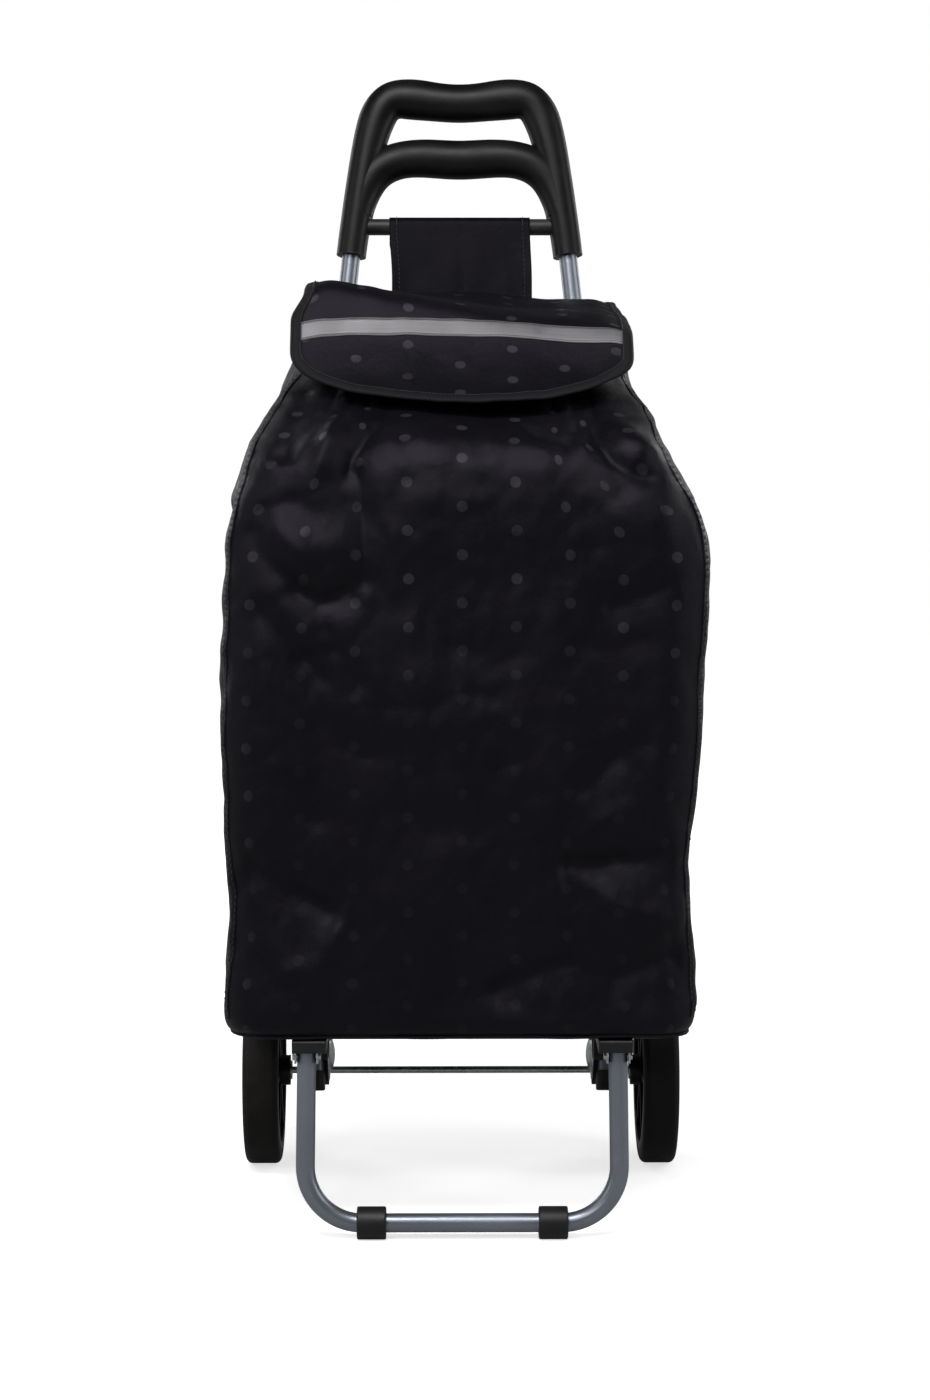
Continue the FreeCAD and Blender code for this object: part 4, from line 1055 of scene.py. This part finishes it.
# the strip's section, as (share of its width, out of the cloth)
STRIP_SHAPE = [(-0.5, 0.0007), (-0.485, 0.00115), (-0.3, 0.0012), (-0.1, 0.0012),
               (0.1, 0.0012), (0.3, 0.0012), (0.485, 0.00115), (0.5, 0.0007)]
T = np.array([[flap_at(x, strip_mid(x) + w * STRIP_W, h) for x in SX] for w, h in STRIP_SHAPE])
T_uv = cut_grid(SX, [w * STRIP_W for w, h in STRIP_SHAPE])
flap_strip = grid_piece("flap_strip", T, T_uv, [FINISH["reflective_tape"]], "flap", "reflective_tape")
thicken(flap_strip, 0.0004, offset=0.0)
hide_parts("reflective_strip")
strip_places = []
for w in (-0.40, 0.40):
    strip_places += flap_places([(x, strip_mid(x) + w * STRIP_W) for x in SX], 0.0015)
stitches("strip_stitches", strip_places, "flap", slot="reflective_tape", length=0.0016, radius=0.0002)

# cloth that joins the flap to the back of the mouth
HINGE_HALF = 0.112
back_wall = plane_y(0.735) - BACK_GAP / COS
# its section, as (in front of the back wall, height)
HINGE_SHAPE = [(0.0050, 0.716), (0.0046, 0.724), (0.0044, 0.732), (0.0044, 0.739), (0.0046, 0.744),
               (0.0052, 0.7475), (0.0080, 0.7494), (0.0130, 0.7498), (0.0200, 0.7500)]
hx = np.linspace(-HINGE_HALF, HINGE_HALF, 60)
J = np.array([np.column_stack([hx, back_wall - inside - 0.0006 * np.sin(hx * 160.0),
                               z - 0.0004 * np.cos(hx * 90.0) - hinge_drop(hx) * smooth(0.716, 0.748, z)])
              for inside, z in HINGE_SHAPE])
j_len = along_line(HINGE_SHAPE)
J_uv = cut_grid(hx, j_len)
hinge_cloth = grid_piece("hinge_cloth", J, J_uv, [PLAIN], None, "bag_fabric")
thicken(hinge_cloth, 0.0008, offset=0.0)
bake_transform(hinge_cloth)

# ------------------------------------------------------------------ webbing loops round the rails
def tie_loop(side):
    """Narrow webbing round a rail, its corners rounded and its edges a little wavy."""
    lo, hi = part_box("bag_tie_" + side)
    half_t = 0.00045
    corner = 0.0014
    corners = [(lo.x, lo.z), (hi.x, lo.z), (hi.x, hi.z), (lo.x, hi.z)]
    loop = []
    for k, (cx, cz) in enumerate(corners):
        sx, sz = (1 if cx == lo.x else -1), (1 if cz == lo.z else -1)
        ox, oz = cx + sx * (half_t + corner), cz + sz * (half_t + corner)
        for step in range(6):
            turn = math.radians(180.0 + 90.0 * k + 18.0 * step)
            loop.append((ox + corner * math.cos(turn), oz + corner * math.sin(turn)))
    ring = loop + loop[:1]
    length = along_line(ring)[-1]
    even = np.linspace(0, length, 64, endpoint=False)
    x, z = at_distances(ring, even).T
    ys = np.linspace(lo.y + 0.0004, hi.y - 0.0004, 14)
    wave = 0.0002 * np.sin(even * 700.0)
    P = np.array([np.column_stack([x, y + wave, z]) for y in ys])
    uv = cut_grid(np.append(even, length), ys)
    piece = grid_piece("tie_webbing_" + side, P, uv, [TAPE], "frame", "binding_tape", closed=True)
    thicken(piece, 2 * half_t, offset=0.0)
    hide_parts("bag_tie_" + side)


tie_loop("left")
tie_loop("right")

# ------------------------------------------------------------------ floor, lights, camera
def studio_floor():
    """Plain white floor, whose own glow and paleness are for the camera more than for the object."""
    m = Nodes("studio_floor")
    grain = m.noise(m.where(), 3.0, 4.0)
    colour = m.blend(grain, (0.93, 0.93, 0.93, 1.0), (0.96, 0.96, 0.96, 1.0))
    far = m.span(m.vector("LENGTH", m.where()), 0.9, 2.4, 0.66, 1.0)
    seen_only = m.node("ShaderNodeLightPath").outputs["Is Camera Ray"]
    glow = m.math("MULTIPLY", far, m.math("MULTIPLY_ADD", seen_only, 0.94, 0.06))
    colour = m.blend(seen_only, (0.42, 0.42, 0.42, 1.0), colour)
    material = m.finish(Base_Color=colour, Roughness=0.9,
                        Emission_Color=(1.0, 1.0, 1.0, 1.0), Emission_Strength=glow)
    places = np.linspace(-7.0, 7.0, 21)
    P = np.array([[(x, y, 0.0) for x in places] for y in places])
    floor = grid_piece("studio_floor", P, P[..., :2], [material], None, "board")
    del floor["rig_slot"]              # the floor is no piece of the object
    return floor


ground = studio_floor()
ground.visible_diffuse = False

world = bpy.data.worlds.new("studio")
world.use_nodes = True
sky = world.node_tree
seen = sky.nodes.new("ShaderNodeLightPath").outputs["Is Camera Ray"]
strength = sky.nodes.new("ShaderNodeMapRange")
strength.inputs["To Min"].default_value = 0.055
strength.inputs["To Max"].default_value = 1.0
sky.links.new(seen, strength.inputs["Value"])
sky.nodes["Background"].inputs[0].default_value = (1.0, 1.0, 1.0, 1.0)
sky.links.new(strength.outputs[0], sky.nodes["Background"].inputs[1])
bpy.context.scene.world = world


def softbox(name, place, target, size, power):
    """A rectangular studio light that faces target."""
    light = bpy.data.lights.new(name, "AREA")
    light.shape = "RECTANGLE"
    light.size, light.size_y = size
    light.energy = power
    holder = bpy.data.objects.new(name, light)
    bpy.context.scene.collection.objects.link(holder)
    holder.location = place
    holder.rotation_euler = (Vector(target) - Vector(place)).to_track_quat("-Z", "Y").to_euler()


SIDE_SIZE, BACK_SIZE = (0.8, 1.7), (0.8, 1.8)
softbox("left_box", (-2.1, -0.5, 1.25), (0, 0, 0.6), SIDE_SIZE, 8)
softbox("right_box", (2.1, -0.5, 1.25), (0, 0, 0.6), SIDE_SIZE, 14)
softbox("top_box", (-0.35, -1.7, 2.9), (0, -0.1, 0.4), (1.5, 0.8), 62)
softbox("front_box", (-1.1, -3.0, 2.2), (0, 0, 0.45), (1.2, 1.0), 22)
softbox("back_left", (-1.7, 1.9, 1.3), (0, 0, 0.5), BACK_SIZE, 15)
softbox("back_right", (1.7, 1.9, 1.3), (0, 0, 0.5), BACK_SIZE, 15)

scene = bpy.context.scene
camera_data = bpy.data.cameras.new("camera")
camera_data.lens = 78.0
camera_data.sensor_width = 36.0
camera_data.sensor_fit = "AUTO"
camera = bpy.data.objects.new("camera", camera_data)
camera.location = (-0.0157, -2.537, 0.6275)
camera.rotation_euler = (math.radians(85.028), 0.0, math.radians(-0.434))
scene.collection.objects.link(camera)
scene.camera = camera
scene.view_settings.view_transform = "Standard"
scene.view_settings.look = "None"
